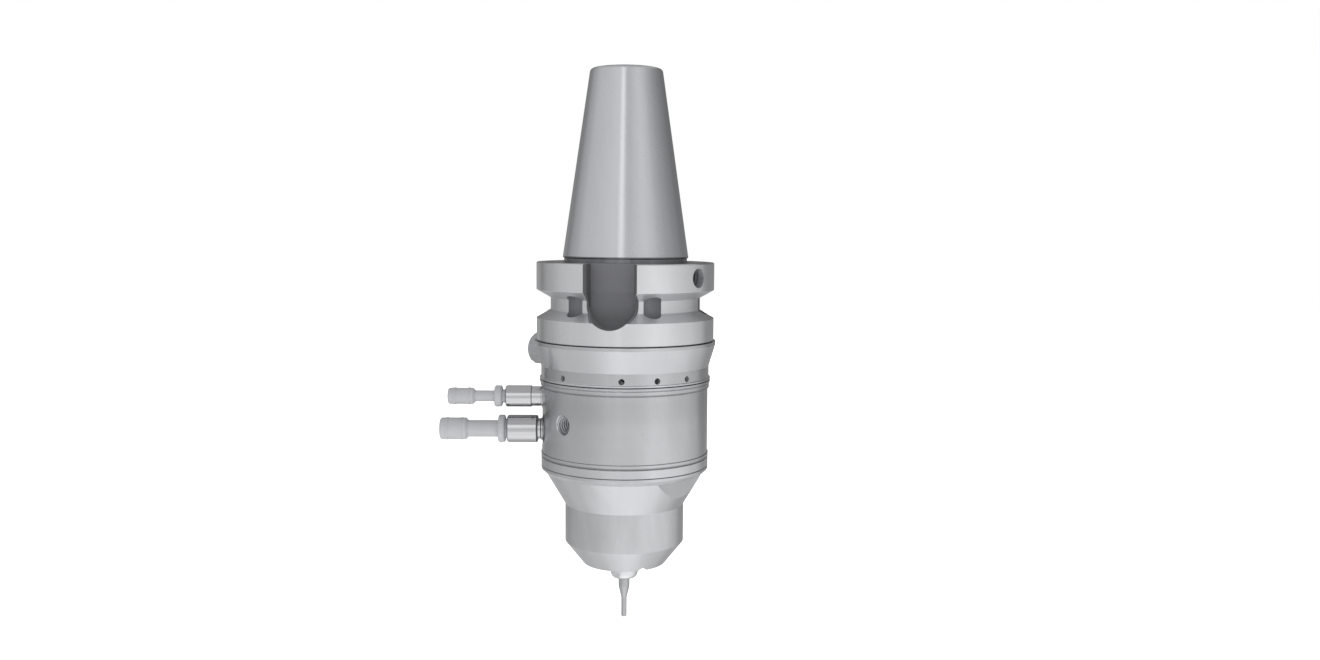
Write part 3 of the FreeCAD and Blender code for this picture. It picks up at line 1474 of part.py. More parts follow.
def make_sensor_cap():
    bore = s.socket_radius + s.fit
    floor = cap_end - s.cap_floor
    body = turned(
        "sensor_cap",
        [
            (bore, cap_start),
            (s.cap_radius - s.edge_break, cap_start),
            (s.cap_radius, cap_start + s.edge_break),
            (s.cap_radius, cap_end - s.edge_break * 2),
            (s.cap_radius - s.edge_break * 2, cap_end),
            (0, cap_end),
            (0, floor),
            (bore, floor),
        ],
    )
    sketch = top_sketch(body, "flute_profile", cap_end + 1)
    centre = s.cap_radius - s.cap_flute_depth + s.cap_flute_radius
    draw_circle(sketch, centre, 0, s.cap_flute_radius)
    flute = cut(body, "cap_flute", sketch, cap_end - cap_start + 2)
    repeat(body, "cap_flutes", [flute], s.cap_flutes)
    lay_sensor(body)


def make_cap_seal():
    top = cap_end - s.cap_floor - s.cap_seal_gap
    outer = s.socket_radius - s.cap_seal_gap
    body = turned(
        "cap_seal",
        [
            (s.cap_seal_bore, top - s.cap_seal_height),
            (outer, top - s.cap_seal_height),
            (outer, top),
            (s.cap_seal_bore, top),
        ],
    )
    lay_sensor(body)


# Build, test and write every part


def build():
    make_taper_shank()
    make_bore_plug()
    make_flange_screws()
    make_vent_ring()
    make_main_housing()
    make_front_housing()
    make_nose_ring()
    make_nozzle_ring()
    make_rear_bearing_body()
    make_rear_bush()
    make_thrust_plate("rear_thrust_plate", s.rear_body_bottom)
    make_thrust_spacer()
    make_thrust_plate("front_thrust_plate", thrust_bottom)
    make_front_bush()
    make_seals()
    make_spindle_shaft()
    make_turbine_wheel()
    make_turbine_nut()
    make_speed_target()
    make_collet()
    make_collet_nut()
    make_end_mill()
    make_fittings()
    make_sensor_socket()
    make_speed_sensor()
    make_sensor_cap()
    make_cap_seal()


def check():
    doc.recompute()
    for item in doc.Objects:
        if "Invalid" in item.State or "Error" in item.State:
            raise RuntimeError(f"{item.Label} failed: {item.State}")
    for body in bodies:
        if body.Shape.isNull() or not body.Shape.isValid():
            raise RuntimeError(f"{body.Label} has no valid shape")


def write():
    os.makedirs("parts", exist_ok=True)
    for body in bodies:
        body.Shape.exportStep(f"parts/{body.Label}.step")
        print(f"{body.Label}: {len(body.Shape.Solids)} solid, {body.Shape.Volume:.1f} mm3")


build()
check()
write()
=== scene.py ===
"""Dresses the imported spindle: studio, camera, finishes and the fine parts that the solids leave out."""

import json
import math

import bmesh
import bpy
from mathutils import Matrix, Vector


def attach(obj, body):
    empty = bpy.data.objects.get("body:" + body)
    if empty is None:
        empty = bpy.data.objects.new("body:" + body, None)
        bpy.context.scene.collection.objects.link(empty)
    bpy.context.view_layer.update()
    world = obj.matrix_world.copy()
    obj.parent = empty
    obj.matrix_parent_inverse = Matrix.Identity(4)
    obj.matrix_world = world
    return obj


bl_info = {
    "name": "Spindle dressing",
    "version": (1, 0, 0),
    "blender": (4, 5, 0),
    "location": "View3D > Sidebar > Spindle",
    "description": "Finishes, threads, gasket and studio for an air-turbine spindle on a taper shank",
    "category": "Object",
}

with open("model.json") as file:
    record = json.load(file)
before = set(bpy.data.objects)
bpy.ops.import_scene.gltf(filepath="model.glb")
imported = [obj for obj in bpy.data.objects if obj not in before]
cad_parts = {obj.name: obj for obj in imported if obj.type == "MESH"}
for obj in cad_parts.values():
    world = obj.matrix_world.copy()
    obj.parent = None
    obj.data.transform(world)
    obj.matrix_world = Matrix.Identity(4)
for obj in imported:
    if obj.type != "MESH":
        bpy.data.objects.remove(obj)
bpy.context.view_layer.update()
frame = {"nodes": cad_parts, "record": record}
NODES = frame["nodes"]
SLOT_OF = {row["node"]: row["material_slot"] for row in frame["record"]["subparts"]}
MM = 0.001

# Places on the spindle that the frame doesn't name, in millimetres and degrees
SHANK_TURN = -9.94
SIDE_HOLE_TURN = SHANK_TURN + 62.2
SIDE_HOLE_HEIGHT = -6.8
PORT_TURN = -46.0
PORT_HEIGHT = -57.3
FITTING_TURN = -90.0
DRIVE_HEIGHT = -61.93
BEARING_HEIGHT = -50.17
SENSOR_TURN = -126.0
SENSOR_HEIGHT = -35.2
SOCKET_THREAD = (33.4, 38.4)
KEYWAY_HALF_WIDTH = 8.05
KEYWAY_END_CENTRE = -15.9
KEYWAY_FLOOR = 22.6
KEYWAY_CHAMFER_START = 29.454
KEYWAY_RIM = 0.75
FLANGE_RADIUS = 31.5
FLANGE_TOP = -2.0
FLANGE_BOTTOM = -33.0
GROOVE_TOP = -11.6
GROOVE_BOTTOM = -21.6
GROOVE_FLOOR = 26.5
TAPER_RADIUS = 22.225
TAPER_TOP = 65.1
SCREW_CIRCLE = 25.87
SCREW_FIRST_TURN = SHANK_TURN + 30.0
ACCESS_RADIUS = 3.15
SIDE_HOLE_RADIUS = 3.35
PORT_RADIUS = 3.1
DRAW_RADIUS = 7.0
VENT_BAND = (-42.35, -38.65)
VENT_BAND_RADIUS = 29.9
# How much the keyway's mask widens for each millimetre outwards along its chamfers
KEYWAY_CHAMFER_SLOPE = 1.42
# Turn, height, half width and half height of the dents from handling that the flange shows
FLANGE_DENTS = [
    (-44.5, -26.9, 0.42, 0.07),
    (-41.5, -26.0, 0.30, 0.06),
    (9.5, -27.6, 0.10, 0.12),
    (-36.0, -24.4, 0.12, 0.1),
]
# Lines of painted shade round the body, in its seams and under its beads and steps: height, half width and
# depth
BODY_SEAMS = [
    (-43.35, 0.13, 0.9),
    (-46.05, 0.34, 0.52),
    (-69.38, 0.10, 0.45),
    (-70.75, 0.30, 0.55),
    (-74.12, 0.16, 0.8),
]
# Lines of painted shade in the vent ring's seams: height, half width and depth
VENT_RING_SEAMS = [(-29.6, 0.05, 0.5), (-43.18, 0.1, 0.8)]
# Bands of painted light and shade round the body: from, to, gain and softness of the edges
BODY_LIGHT_AND_SHADE = [(-90.0, -71.3, 1.12, 0.1), (-55.0, -46.3, 0.92, 3.5), (-44.9, -44.25, 1.12, 0.15)]
VENT_RING_LIGHT_AND_SHADE = [(-42.3, -38.55, 0.93, 0.1), (-42.75, -42.35, 1.35, 0.06), (-38.5, -33.5, 0.985, 0.1)]
FRONT_LIGHT_AND_SHADE = [(-76.75, -75.35, 1.24, 0.08), (-102.0, -88.4, 0.95, 0.1), (-112.0, -102.1, 1.10, 0.1)]
# Lines of painted shade round the fittings, in their joints and grooves: distance from the spindle's axis,
# half width and depth
FITTING_SEAMS = {
    "drive": [(29.3, 0.15, 0.6), (29.85, 0.12, 0.6), (31.35, 0.26, 0.7), (41.75, 0.1, 0.3)],
    "bearing": [(29.4, 0.15, 0.6), (29.85, 0.10, 0.6), (33.32, 0.16, 0.6), (42.3, 0.1, 0.3)],
}
# Soft moulded bands of the plugs' heads: from, to and radius
PLUG_BANDS = {
    "drive": [(57.9, 58.5, 3.9), (63.0, 64.0, 3.9)],
    "bearing": [(55.1, 56.0, 2.92), (60.2, 61.3, 2.92)],
}
# How deep such a band lies in its plug, and how far it stands out
BAND_SINK = 0.1
BAND_RISE = 0.12
# Gasket under the bearing fitting: from, to, inner radius, outer radius and rounding
GASKET = (29.21, 29.62, 3.56, 4.15, 0.12)
# Ridges of the threads: core radius of the hole, depth, start and length
RIDGES = {
    "side_port_thread": (PORT_RADIUS, 0.5, 23.2, 6.0),
    "side_hole_thread": (SIDE_HOLE_RADIUS, 0.22, 21.6, 8.6),
    "draw_thread": (DRAW_RADIUS, 0.7, 29.4, 30.0),
}
# How deep a ridge's foot lies in the wall of its hole
RIDGE_SINK = 0.02
# Half the width of a ridge's foot, in pitches
RIDGE_HALF_FOOT = 0.42
# Place, size and target of the narrow lamp, in metres
STRIP_PLACE = (-0.14, -0.95, 0.30)
STRIP_SIZE = (0.16, 0.70)
STRIP_TARGET = (0, 0, 0.03)


def colour_property(name, description, default):
    return bpy.props.FloatVectorProperty(
        name=name, description=description, subtype="COLOR", size=3, min=0.0, max=1.0, default=default
    )


def length_property(name, description, default):
    return bpy.props.FloatProperty(
        name=name, description=description, subtype="DISTANCE", unit="LENGTH", default=default
    )


def angle_property(name, description, degrees):
    return bpy.props.FloatProperty(
        name=name, description=description, subtype="ANGLE", unit="ROTATION", default=math.radians(degrees)
    )


def factor_property(name, description, default):
    return bpy.props.FloatProperty(
        name=name, description=description, subtype="FACTOR", min=0.0, max=1.0, default=default
    )


class SpindleCamera(bpy.types.PropertyGroup):
    """Where the photograph was taken from."""

    distance: length_property("Distance", "Camera to the spindle axis", 0.4082)
    height: length_property("Height", "Camera above the gauge plane", 0.00923)
    pitch: angle_property("Pitch", "Camera looks down by this", 4.96)
    yaw: angle_property("Yaw", "Camera looks right by this", 1.74)
    roll: angle_property("Roll", "Camera leans by this", 0.44)
    lens: bpy.props.FloatProperty(
        name="Lens", description="Focal length in mm on a 36 mm wide sensor", unit="CAMERA", default=31.27
    )


class SpindleStudio(bpy.types.PropertyGroup):
    """Room and lamp round the spindle."""

    floor_height: length_property("Floor height", "Floor under the gauge plane", -0.30)
    floor_size: length_property("Floor size", "Side of the floor", 8.0)
    wall_radius: length_property("Wall radius", "Soft wall round the spindle", 1.5)
    wall_top: length_property("Wall top", "Height of the wall's upper edge", 1.1)
    ceiling: factor_property("Ceiling", "Brightness of the ceiling", 0.62)
    world: factor_property("World", "Level of the world's soft light", 0.60)
    strip: bpy.props.FloatProperty(
        name="Strip lamp", description="Power of the narrow lamp over the camera", unit="POWER", default=0.21
    )


class SpindleFinishes(bpy.types.PropertyGroup):
    """Colours of the finishes."""

    taper: colour_property("Ground taper", "Ground steel of the taper", (0.593, 0.60, 0.628))
    flange: colour_property("Flange", "Satin steel of the flange", (0.68, 0.685, 0.70))
    # This grey is also the base of the painted shade and painted dark reflection on the flange and in the
    # holes and threads
    keyway: colour_property("Keyway", "Dull steel in the keyways", (0.212, 0.214, 0.227))
    body: colour_property("Body", "Polished steel of the body", (0.55, 0.555, 0.57))
    dark: colour_property("Dark steel", "Blued steel", (0.22, 0.22, 0.23))
    nickel: colour_property("Nickel", "Plated fittings", (0.545, 0.547, 0.56))
    plastic: colour_property("Plastic", "Caps, plugs and release rings", (0.555, 0.56, 0.585))
    rubber: colour_property("Rubber", "Seals", (0.03, 0.03, 0.032))
    bronze: colour_property("Bronze", "Bearing bushes", (0.45, 0.30, 0.16))
    aluminium: colour_property("Aluminium", "Turbine parts", (0.72, 0.725, 0.73))
    carbide: colour_property("Carbide", "Cutter", (0.42, 0.425, 0.44))


class SpindleThreads(bpy.types.PropertyGroup):
    """Threads that the solids leave plain."""

    port_pitch: length_property("Port pitch", "Thread in the body's side port", 1.0 * MM)
    side_pitch: length_property("Side pitch", "Thread in the flange's side hole", 1.25 * MM)
    draw_pitch: length_property("Draw pitch", "Thread for the pull stud", 2.0 * MM)
    socket_pitch: length_property("Socket pitch", "Thread under the sensor's cap", 1.0 * MM)
    steps: bpy.props.IntProperty(
        name="Steps", description="Steps in one turn of a thread", default=40, min=12
    )


SETTINGS = {
    "spindle_camera": SpindleCamera,
    "spindle_studio": SpindleStudio,
    "spindle_finishes": SpindleFinishes,
    "spindle_threads": SpindleThreads,
}


def settings(name):
    return getattr(bpy.context.scene, "spindle_" + name)


# Brightness of the room by the turn about the spindle, 0 at the camera's side and -90 at the left
WALL_LEVELS = [
    (-180, 0.22), (-150, 0.46), (-141, 0.36), (-133, 0.22), (-125, 0.40), (-109, 0.46), (-87, 0.65),
    (-68, 0.72), (-52, 0.71), (-36, 0.755), (-22, 0.90), (-8, 0.98), (7, 0.95), (22, 1.02), (36, 1.04),
    (52, 1.02), (68, 0.89), (87, 0.81), (110, 0.67), (126, 0.34), (150, 0.32), (180, 0.28),
]
HIGH_LEVELS = [
    (-180, 0.20), (-139, 0.30), (-109, 0.57), (-87, 0.74), (-68, 0.79), (-52, 0.84), (-36, 0.89),
    (-22, 0.95), (-8, 1.05), (-2, 0.72), (7, 0.70), (22, 0.83), (36, 0.91), (52, 0.79), (68, 0.58),
    (87, 0.42), (109, 0.31), (139, 0.22), (180, 0.16),
]
FAR_FLOOR_LEVELS = [
    (-180, 0.02), (-139, 0.0), (-109, 0.10), (-87, 0.11), (-68, 0.10), (-52, 0.13), (-36, 0.20),
    (-22, 0.26), (-7, 0.26), (7, 0.28), (22, 0.36), (36, 0.74), (52, 0.68), (68, 0.66), (87, 0.66),
    (109, 0.40), (139, 0.02), (180, 0.02),
]
MIDDLE_FLOOR_LEVELS = [
    (-180, 0.10), (-139, 0.13), (-109, 0.32), (-87, 0.33), (-68, 0.32), (-52, 0.36), (-36, 0.47),
    (-22, 0.66), (-7, 0.73), (22, 0.68), (36, 0.66), (52, 0.65), (68, 0.62), (87, 0.53), (109, 0.29),
    (139, 0.02), (180, 0.05),
]
NEAR_FLOOR_LEVELS = [
    (-180, 0.10), (-135, 0.14), (-112, 0.25), (-86, 0.48), (-70, 0.60), (-54, 0.74), (-42, 0.68),
    (-29, 0.84), (0, 0.86), (42, 0.86), (56, 0.87), (72, 0.76), (90, 0.50), (112, 0.30), (150, 0.15),
    (180, 0.10),
]
# Beyond every place in the room, in metres
FAR = 9.0
# Where the near floor gives way to the middle and that to the far one: distance from the axis and softness
FLOOR_STEPS = ((0.20, 0.03), (0.75, 0.25))
# Height at which the wall's levels give way to the high ones, and the softness of the change
WALL_STEP = (0.02, 0.28)
# Darker parts of the wall: from, to and softness by turn, the same by height, and depth
WALL_SHADES = [
    ((-125, -20, 12), (-FAR, -0.19, 0.02), 0.16),
    ((-19, -1, 4), (-0.10, 0.37, 0.05), 0.46),
]


def turn_of(t, coordinate):
    """Turn of a place about the spindle, in radians from the camera's side."""
    x, y = t.split(coordinate)[:2]
    return t.math("ARCTAN2", x, t.multiply(y, -1.0))


def by_turn(t, coordinate, levels):
    """Brightness at a place in the room, by its turn about the spindle."""
    turn = turn_of(t, coordinate)
    ramp = t.node("ShaderNodeValToRGB")
    ramp.color_ramp.interpolation = "EASE"
    t.feed(t.add(t.math("DIVIDE", turn, 2 * math.pi), 0.5), ramp.inputs["Fac"])
    stops = ramp.color_ramp.elements
    for index, (degrees, level) in enumerate(levels):
        stop = stops[index] if index < 2 else stops.new(1.0)
        stop.position = degrees / 360 + 0.5
        stop.color = (level, level, level, 1.0)
    return ramp.outputs["Color"]


# Shader building


class Tree:
    """A node tree with short calls for the nodes that the finishes use."""

    def __init__(self, tree):
        self.tree = tree

    def node(self, kind, **values):
        made = self.tree.nodes.new(kind)
        for name, value in values.items():
            setattr(made, name, value)
        return made

    def feed(self, value, socket):
        if isinstance(value, bpy.types.NodeSocket):
            self.tree.links.new(value, socket)
        else:
            socket.default_value = value

    def math(self, operation, *values, clamp=False):
        made = self.node("ShaderNodeMath", operation=operation, use_clamp=clamp)
        for index, value in enumerate(values):
            self.feed(value, made.inputs[index])
        return made.outputs[0]

    def add(self, first, second, clamp=False):
        return self.math("ADD", first, second, clamp=clamp)

    def subtract(self, first, second):
        return self.math("SUBTRACT", first, second)

    def multiply(self, first, second, clamp=False):
        return self.math("MULTIPLY", first, second, clamp=clamp)

    def above(self, value, limit):
        return self.math("GREATER_THAN", value, limit)

    def below(self, value, limit):
        return self.math("LESS_THAN", value, limit)

    def vector(self, operation, *values):
        made = self.node("ShaderNodeVectorMath", operation=operation)
        for index, value in enumerate(values):
            self.feed(value, made.inputs[index])
        return made.outputs["Value" if operation == "DOT_PRODUCT" else "Vector"]

    def mix(self, factor, first, second, blend="MIX"):
        made = self.node("ShaderNodeMix", data_type="RGBA", blend_type=blend)
        self.feed(factor, made.inputs["Factor"])
        self.feed(first, made.inputs["A"])
        self.feed(second, made.inputs["B"])
        return made.outputs["Result"]

    def times(self, factor, colour, gain):
        """A colour, multiplied by a gain as far as a factor says."""
        return self.mix(factor, colour, (*gain, 1.0), "MULTIPLY")

    def bump(self, height, normal, strength, distance):
        made = self.node("ShaderNodeBump")
        made.inputs["Strength"].default_value = strength
        made.inputs["Distance"].default_value = distance
        self.feed(height, made.inputs["Height"])
        if normal is not None:
            self.feed(normal, made.inputs["Normal"])
        return made.outputs["Normal"]

    def scaled(self, value, low, high):
        made = self.node("ShaderNodeMapRange", clamp=True)
        self.feed(value, made.inputs["Value"])
        self.feed(low, made.inputs["To Min"])
        self.feed(high, made.inputs["To Max"])
        return made.outputs["Result"]

    def step(self, value, start, end):
        """A soft step from 0 at the start to 1 at the end."""
        made = self.node("ShaderNodeMapRange", clamp=True, interpolation_type="SMOOTHSTEP")
        self.feed(value, made.inputs["Value"])
        made.inputs["From Min"].default_value = start
        made.inputs["From Max"].default_value = end
        return made.outputs["Result"]

    def between(self, value, low, high, soft):
        """1 where value lies between two limits, with soft edges."""
        rise = self.step(value, low - soft, low + soft)
        fall = self.step(value, high + soft, high - soft)
        return self.multiply(rise, fall)

    def group(self, tree, **values):
        made = self.node("ShaderNodeGroup", node_tree=tree)
        for name, value in values.items():
            self.feed(value, made.inputs[name.replace("_", " ")])
        return made.outputs

    def noise(self, vector, scale, detail=2.0, rough=0.5):
        made = self.node("ShaderNodeTexNoise")
        self.feed(vector, made.inputs["Vector"])
        made.inputs["Scale"].default_value = scale
        made.inputs["Detail"].default_value = detail
        made.inputs["Roughness"].default_value = rough
        return made.outputs["Fac"]

    def split(self, vector):
        made = self.node("ShaderNodeSeparateXYZ")
        self.feed(vector, made.inputs[0])
        return made.outputs

    def join(self, x, y, z):
        made = self.node("ShaderNodeCombineXYZ")
        for index, value in enumerate((x, y, z)):
            self.feed(value, made.inputs[index])
        return made.outputs[0]


def new_group(name, inputs, outputs):
    """A shader node group with its sockets, and the tree and the end nodes to fill it with."""
    tree = bpy.data.node_groups.new(name, "ShaderNodeTree")
    for label, kind, default in inputs:
        socket = tree.interface.new_socket(label, in_out="INPUT", socket_type=kind)
        if default is not None:
            socket.default_value = default
    for label, kind in outputs:
        tree.interface.new_socket(label, in_out="OUTPUT", socket_type=kind)
    start = tree.nodes.new("NodeGroupInput")
    end = tree.nodes.new("NodeGroupOutput")
    return tree, Tree(tree), start.outputs, end.inputs


def turned_marks_group():
    """Fine rings that a lathe or grinder leaves round the Z axis of the coordinate it gets."""
    tree, t, given, result = new_group(
        "Turned marks",
        [
            ("Coordinate", "NodeSocketVector", None),
            ("Spacing", "NodeSocketFloat", 0.4 * MM),
            ("Strength", "NodeSocketFloat", 1.0),
        ],
        [("Rings", "NodeSocketFloat"), ("Bands", "NodeSocketFloat")],
    )
    x, y, z = t.split(given["Coordinate"])[:3]
    radius = length_of(t, x, y)
    place = t.join(t.math("DIVIDE", radius, given["Spacing"]), t.math("DIVIDE", z, given["Spacing"]), 0.0)
    fine = t.noise(place, 1.0, 3.0, 0.6)
    wide = t.noise(place, 0.09, 2.0, 0.5)
    t.feed(t.multiply(t.subtract(fine, 0.5), given["Strength"]), result["Rings"])
    t.feed(t.multiply(t.subtract(wide, 0.5), given["Strength"]), result["Bands"])
    return tree


def handling_group():
    """Smears, short scratches and tiny nicks from handling, and upright streaks that stand both for wipe
    marks and for painted reflections.
    """
    tree, t, given, result = new_group(
        "Handling marks",
        [("Coordinate", "NodeSocketVector", None), ("Amount", "NodeSocketFloat", 1.0)],
        [
            ("Smears", "NodeSocketFloat"),
            ("Scratches", "NodeSocketFloat"),
            ("Nicks", "NodeSocketFloat"),
            ("WipesAndReflections", "NodeSocketFloat"),
        ],
    )
    coordinate = given["Coordinate"]
    smears = t.noise(coordinate, 34.0, 1.0, 0.45)
    stretched = t.vector("MULTIPLY", coordinate, (2600.0, 2600.0, 140.0))
    streaks = t.noise(stretched, 1.0, 1.0, 0.5)
    scratch = t.between(streaks, 0.70, 0.90, 0.03)
    patches = t.between(t.noise(coordinate, 90.0, 1.0, 0.5), 0.55, 1.0, 0.05)
    cells = t.node("ShaderNodeTexVoronoi", feature="F1")
    t.feed(coordinate, cells.inputs["Vector"])
    cells.inputs["Scale"].default_value = 260.0
    dots = t.between(cells.outputs["Distance"], -1.0, 0.055, 0.02)
    x, y, z = t.split(coordinate)[:3]
    radius = t.math("MAXIMUM", length_of(t, x, y), 1.0 * MM)
    leant = t.add(t.math("DIVIDE", x, radius), t.multiply(z, 9.0))
    around = t.join(leant, t.math("DIVIDE", y, radius), t.multiply(z, 14.0))
    # Upright streaks: partly wipe marks, partly painted reflections
    wiped = t.noise(around, 4.6, 1.0, 0.4)
    wipes = t.subtract(t.between(wiped, 0.56, 2.0, 0.03), t.between(wiped, -1.0, 0.42, 0.05))
    t.feed(t.multiply(wipes, given["Amount"]), result["WipesAndReflections"])
    t.feed(t.multiply(t.subtract(smears, 0.5), given["Amount"]), result["Smears"])
    t.feed(t.multiply(t.multiply(scratch, patches), given["Amount"]), result["Scratches"])
    t.feed(t.multiply(t.multiply(dots, patches), given["Amount"]), result["Nicks"])
    return tree


def soft_edge_group():
    """Rounds the shading of sharp edges, and marks where they are."""
    tree, t, given, result = new_group(
        "Soft edges",
        [("Width", "NodeSocketFloat", 0.15 * MM)],
        [("Normal", "NodeSocketVector"), ("Edge", "NodeSocketFloat")],
    )
    bevel = t.node("ShaderNodeBevel", samples=4)
    t.feed(given["Width"], bevel.inputs["Radius"])
    true = t.node("ShaderNodeNewGeometry")
    turn = t.vector("DOT_PRODUCT", bevel.outputs["Normal"], true.outputs["Normal"])
    edge = t.multiply(t.subtract(1.0, turn), 6.0, clamp=True)
    t.feed(bevel.outputs["Normal"], result["Normal"])
    t.feed(edge, result["Edge"])
    return tree


def moulded_group():
    """Faint spark-eroded grain and flow marks of moulded plastic."""
    tree, t, given, result = new_group(
        "Moulded grain",
        [("Coordinate", "NodeSocketVector", None), ("Grain Size", "NodeSocketFloat", 0.12 * MM)],
        [("Grain", "NodeSocketFloat"), ("Flow", "NodeSocketFloat")],
    )
    divided = t.math("DIVIDE", 1.0, given["Grain Size"])
    scaled = t.node("ShaderNodeVectorMath", operation="SCALE")
    t.feed(given["Coordinate"], scaled.inputs[0])
    t.feed(divided, scaled.inputs["Scale"])
    t.feed(t.noise(scaled.outputs["Vector"], 1.0, 2.0, 0.6), result["Grain"])
    t.feed(t.noise(given["Coordinate"], 160.0, 2.0, 0.5), result["Flow"])
    return tree


def screw_thread_group():
    """Height of a thread that winds round the Z axis of the coordinate it gets."""
    tree, t, given, result = new_group(
        "Screw thread",
        [("Coordinate", "NodeSocketVector", None), ("Pitch", "NodeSocketFloat", 1.0 * MM)],
        [("Height", "NodeSocketFloat")],
    )
    x, y, z = t.split(given["Coordinate"])[:3]
    turns = t.math("DIVIDE", t.math("ARCTAN2", x, y), 2 * math.pi)
    wound = t.math("FRACT", t.add(t.math("DIVIDE", z, given["Pitch"]), turns))
    t.feed(t.multiply(t.math("ABSOLUTE", t.subtract(wound, 0.5)), 2.0), result["Height"])
    return tree


GROUPS = {}


def build_groups():
    GROUPS["turned"] = turned_marks_group()
    GROUPS["handling"] = handling_group()
    GROUPS["edges"] = soft_edge_group()
    GROUPS["moulded"] = moulded_group()
    GROUPS["screw"] = screw_thread_group()


def new_material(name, kind="ShaderNodeBsdfPrincipled"):
    """A material, the tree to fill it with and its one shader, which feeds the surface."""
    material = bpy.data.materials.new(name)
    material.use_nodes = True
    material.node_tree.nodes.clear()
    t = Tree(material.node_tree)
    shader = t.node(kind)
    t.feed(shader.outputs[0], t.node("ShaderNodeOutputMaterial").inputs["Surface"])
    return material, t, shader


def object_place(t):
    return t.node("ShaderNodeTexCoord").outputs["Object"]


def place_along(t, turn, height):
    """Object coordinates turned so that Z runs outwards at a turn and a height of the spindle."""
    x, y, z = t.split(object_place(t))[:3]
    angle = math.radians(turn)
    out = t.subtract(t.multiply(x, math.sin(angle)), t.multiply(y, math.cos(angle)))
    side = t.add(t.multiply(x, math.cos(angle)), t.multiply(y, math.sin(angle)))
    return t.join(side, t.subtract(z, height * MM), out)


def length_of(t, first, second):
    return t.math("SQRT", t.add(t.multiply(first, first), t.multiply(second, second)))


def both(t, *masks):
    """1 where all of the masks are 1."""
    result = masks[0]
    for mask in masks[1:]:
        result = t.multiply(result, mask)
    return result


def grey(colour, gain=1.0):
    return (colour[0] * gain, colour[1] * gain, colour[2] * gain, 1.0)


def steel(
    name, colour, rough, spacing, marks, place=None, axis="Z", wear=1.0, grain=0.7, wipe=0.07, metal=1.0
):
    """Turned or ground metal: rings round its axis, smears, upright streaks of wipe marks and painted
    reflections, nicks and worn edges.
    """
    material, t, shader = new_material(name)
    coordinate = place(t) if place else object_place(t)
    rings = t.group(GROUPS["turned"], Coordinate=coordinate, Spacing=spacing, Strength=marks)
    hands = t.group(GROUPS["handling"], Coordinate=coordinate, Amount=wear)
    edges = t.group(GROUPS["edges"], Width=0.18 * MM)
    tone = t.add(t.multiply(rings["Rings"], 0.10), t.multiply(rings["Bands"], 0.16))
    tone = t.add(tone, t.multiply(hands["Smears"], 0.06))
    # Upright streaks: partly wipe marks, partly painted reflections
    tone = t.add(tone, t.multiply(hands["WipesAndReflections"], wipe))
    base = t.mix(t.add(0.5, tone, clamp=True), grey(colour, 0.86), grey(colour, 1.12))
    base = t.mix(t.multiply(edges["Edge"], 0.45), base, grey(colour, 1.25))
    base = t.mix(t.multiply(hands["Nicks"], 0.55), base, grey(colour, 0.35))
    t.feed(base, shader.inputs["Base Color"])
    uneven = t.add(rings["Bands"], t.add(hands["Smears"], hands["Scratches"]))
    uneven = t.multiply(uneven, 0.05)
    t.feed(t.add(uneven, rough, clamp=True), shader.inputs["Roughness"])
    t.feed(t.bump(rings["Rings"], edges["Normal"], 0.12, 0.02 * MM), shader.inputs["Normal"])
    shader.inputs["Metallic"].default_value = metal
    shader.inputs["Anisotropic"].default_value = grain
    shader.inputs["Anisotropic Rotation"].default_value = 0.25
    tangent = t.node("ShaderNodeTangent", direction_type="RADIAL", axis=axis)
    t.feed(tangent.outputs["Tangent"], shader.inputs["Tangent"])
    return material, t, shader, coordinate, base


def keyway_mask(t):
    """1 on the floor, the walls, the chamfers and the milled rims of both keyways."""
    across, z, out = t.split(place_along(t, SHANK_TURN, 0.0))[:3]
    below = t.math("MINIMUM", t.subtract(z, KEYWAY_END_CENTRE * MM), 0.0)
    flare = t.subtract(t.math("ABSOLUTE", out), KEYWAY_CHAMFER_START * MM)
    upper = t.above(z, GROOVE_TOP * MM)
    flare = t.multiply(t.math("MAXIMUM", flare, 0.0), t.multiply(upper, KEYWAY_CHAMFER_SLOPE))
    radius = length_of(t, across, out)
    rim = both(
        t,
        t.below(z, GROOVE_TOP * MM),
        t.above(z, GROOVE_BOTTOM * MM),
        t.above(radius, (GROOVE_FLOOR - 0.1) * MM),
    )
    limit = t.add(flare, (KEYWAY_HALF_WIDTH + 0.06) * MM)
    limit = t.add(limit, t.multiply(rim, KEYWAY_RIM * MM))
    reach = t.add(t.multiply(upper, 0.2 * MM), (FLANGE_RADIUS - 0.03) * MM)
    return both(
        t,
        t.below(length_of(t, across, below), limit),
        t.below(radius, reach),
        t.above(radius, (KEYWAY_FLOOR - 0.1) * MM),
        t.below(z, (FLANGE_TOP - 0.03) * MM),
    )


def keyway_edge(t):
    """1 beside the straight walls of the keyways, where their chamfers are."""
    across, z = t.split(place_along(t, SHANK_TURN, 0.0))[:2]
    beside = t.above(t.math("ABSOLUTE", across), (KEYWAY_HALF_WIDTH - 0.05) * MM)
    return t.multiply(beside, t.above(z, GROOVE_BOTTOM * MM))


def access_mask(t, coordinate):
    """1 on the walls of the six holes over the flange's screws."""
    x, y, z = t.split(coordinate)[:3]
    step = math.pi / 3
    turn = t.add(turn_of(t, coordinate), 2 * math.pi + step / 2 - math.radians(SCREW_FIRST_TURN))
    turn = t.subtract(t.math("MODULO", turn, step), step / 2)
    radius = length_of(t, x, y)
    along = t.subtract(t.multiply(radius, t.math("COSINE", turn)), SCREW_CIRCLE * MM)
    across = t.multiply(radius, t.math("SINE", turn))
    near = t.below(length_of(t, along, across), (ACCESS_RADIUS + 0.05) * MM)
    return both(t, near, t.below(z, (FLANGE_TOP - 0.03) * MM))


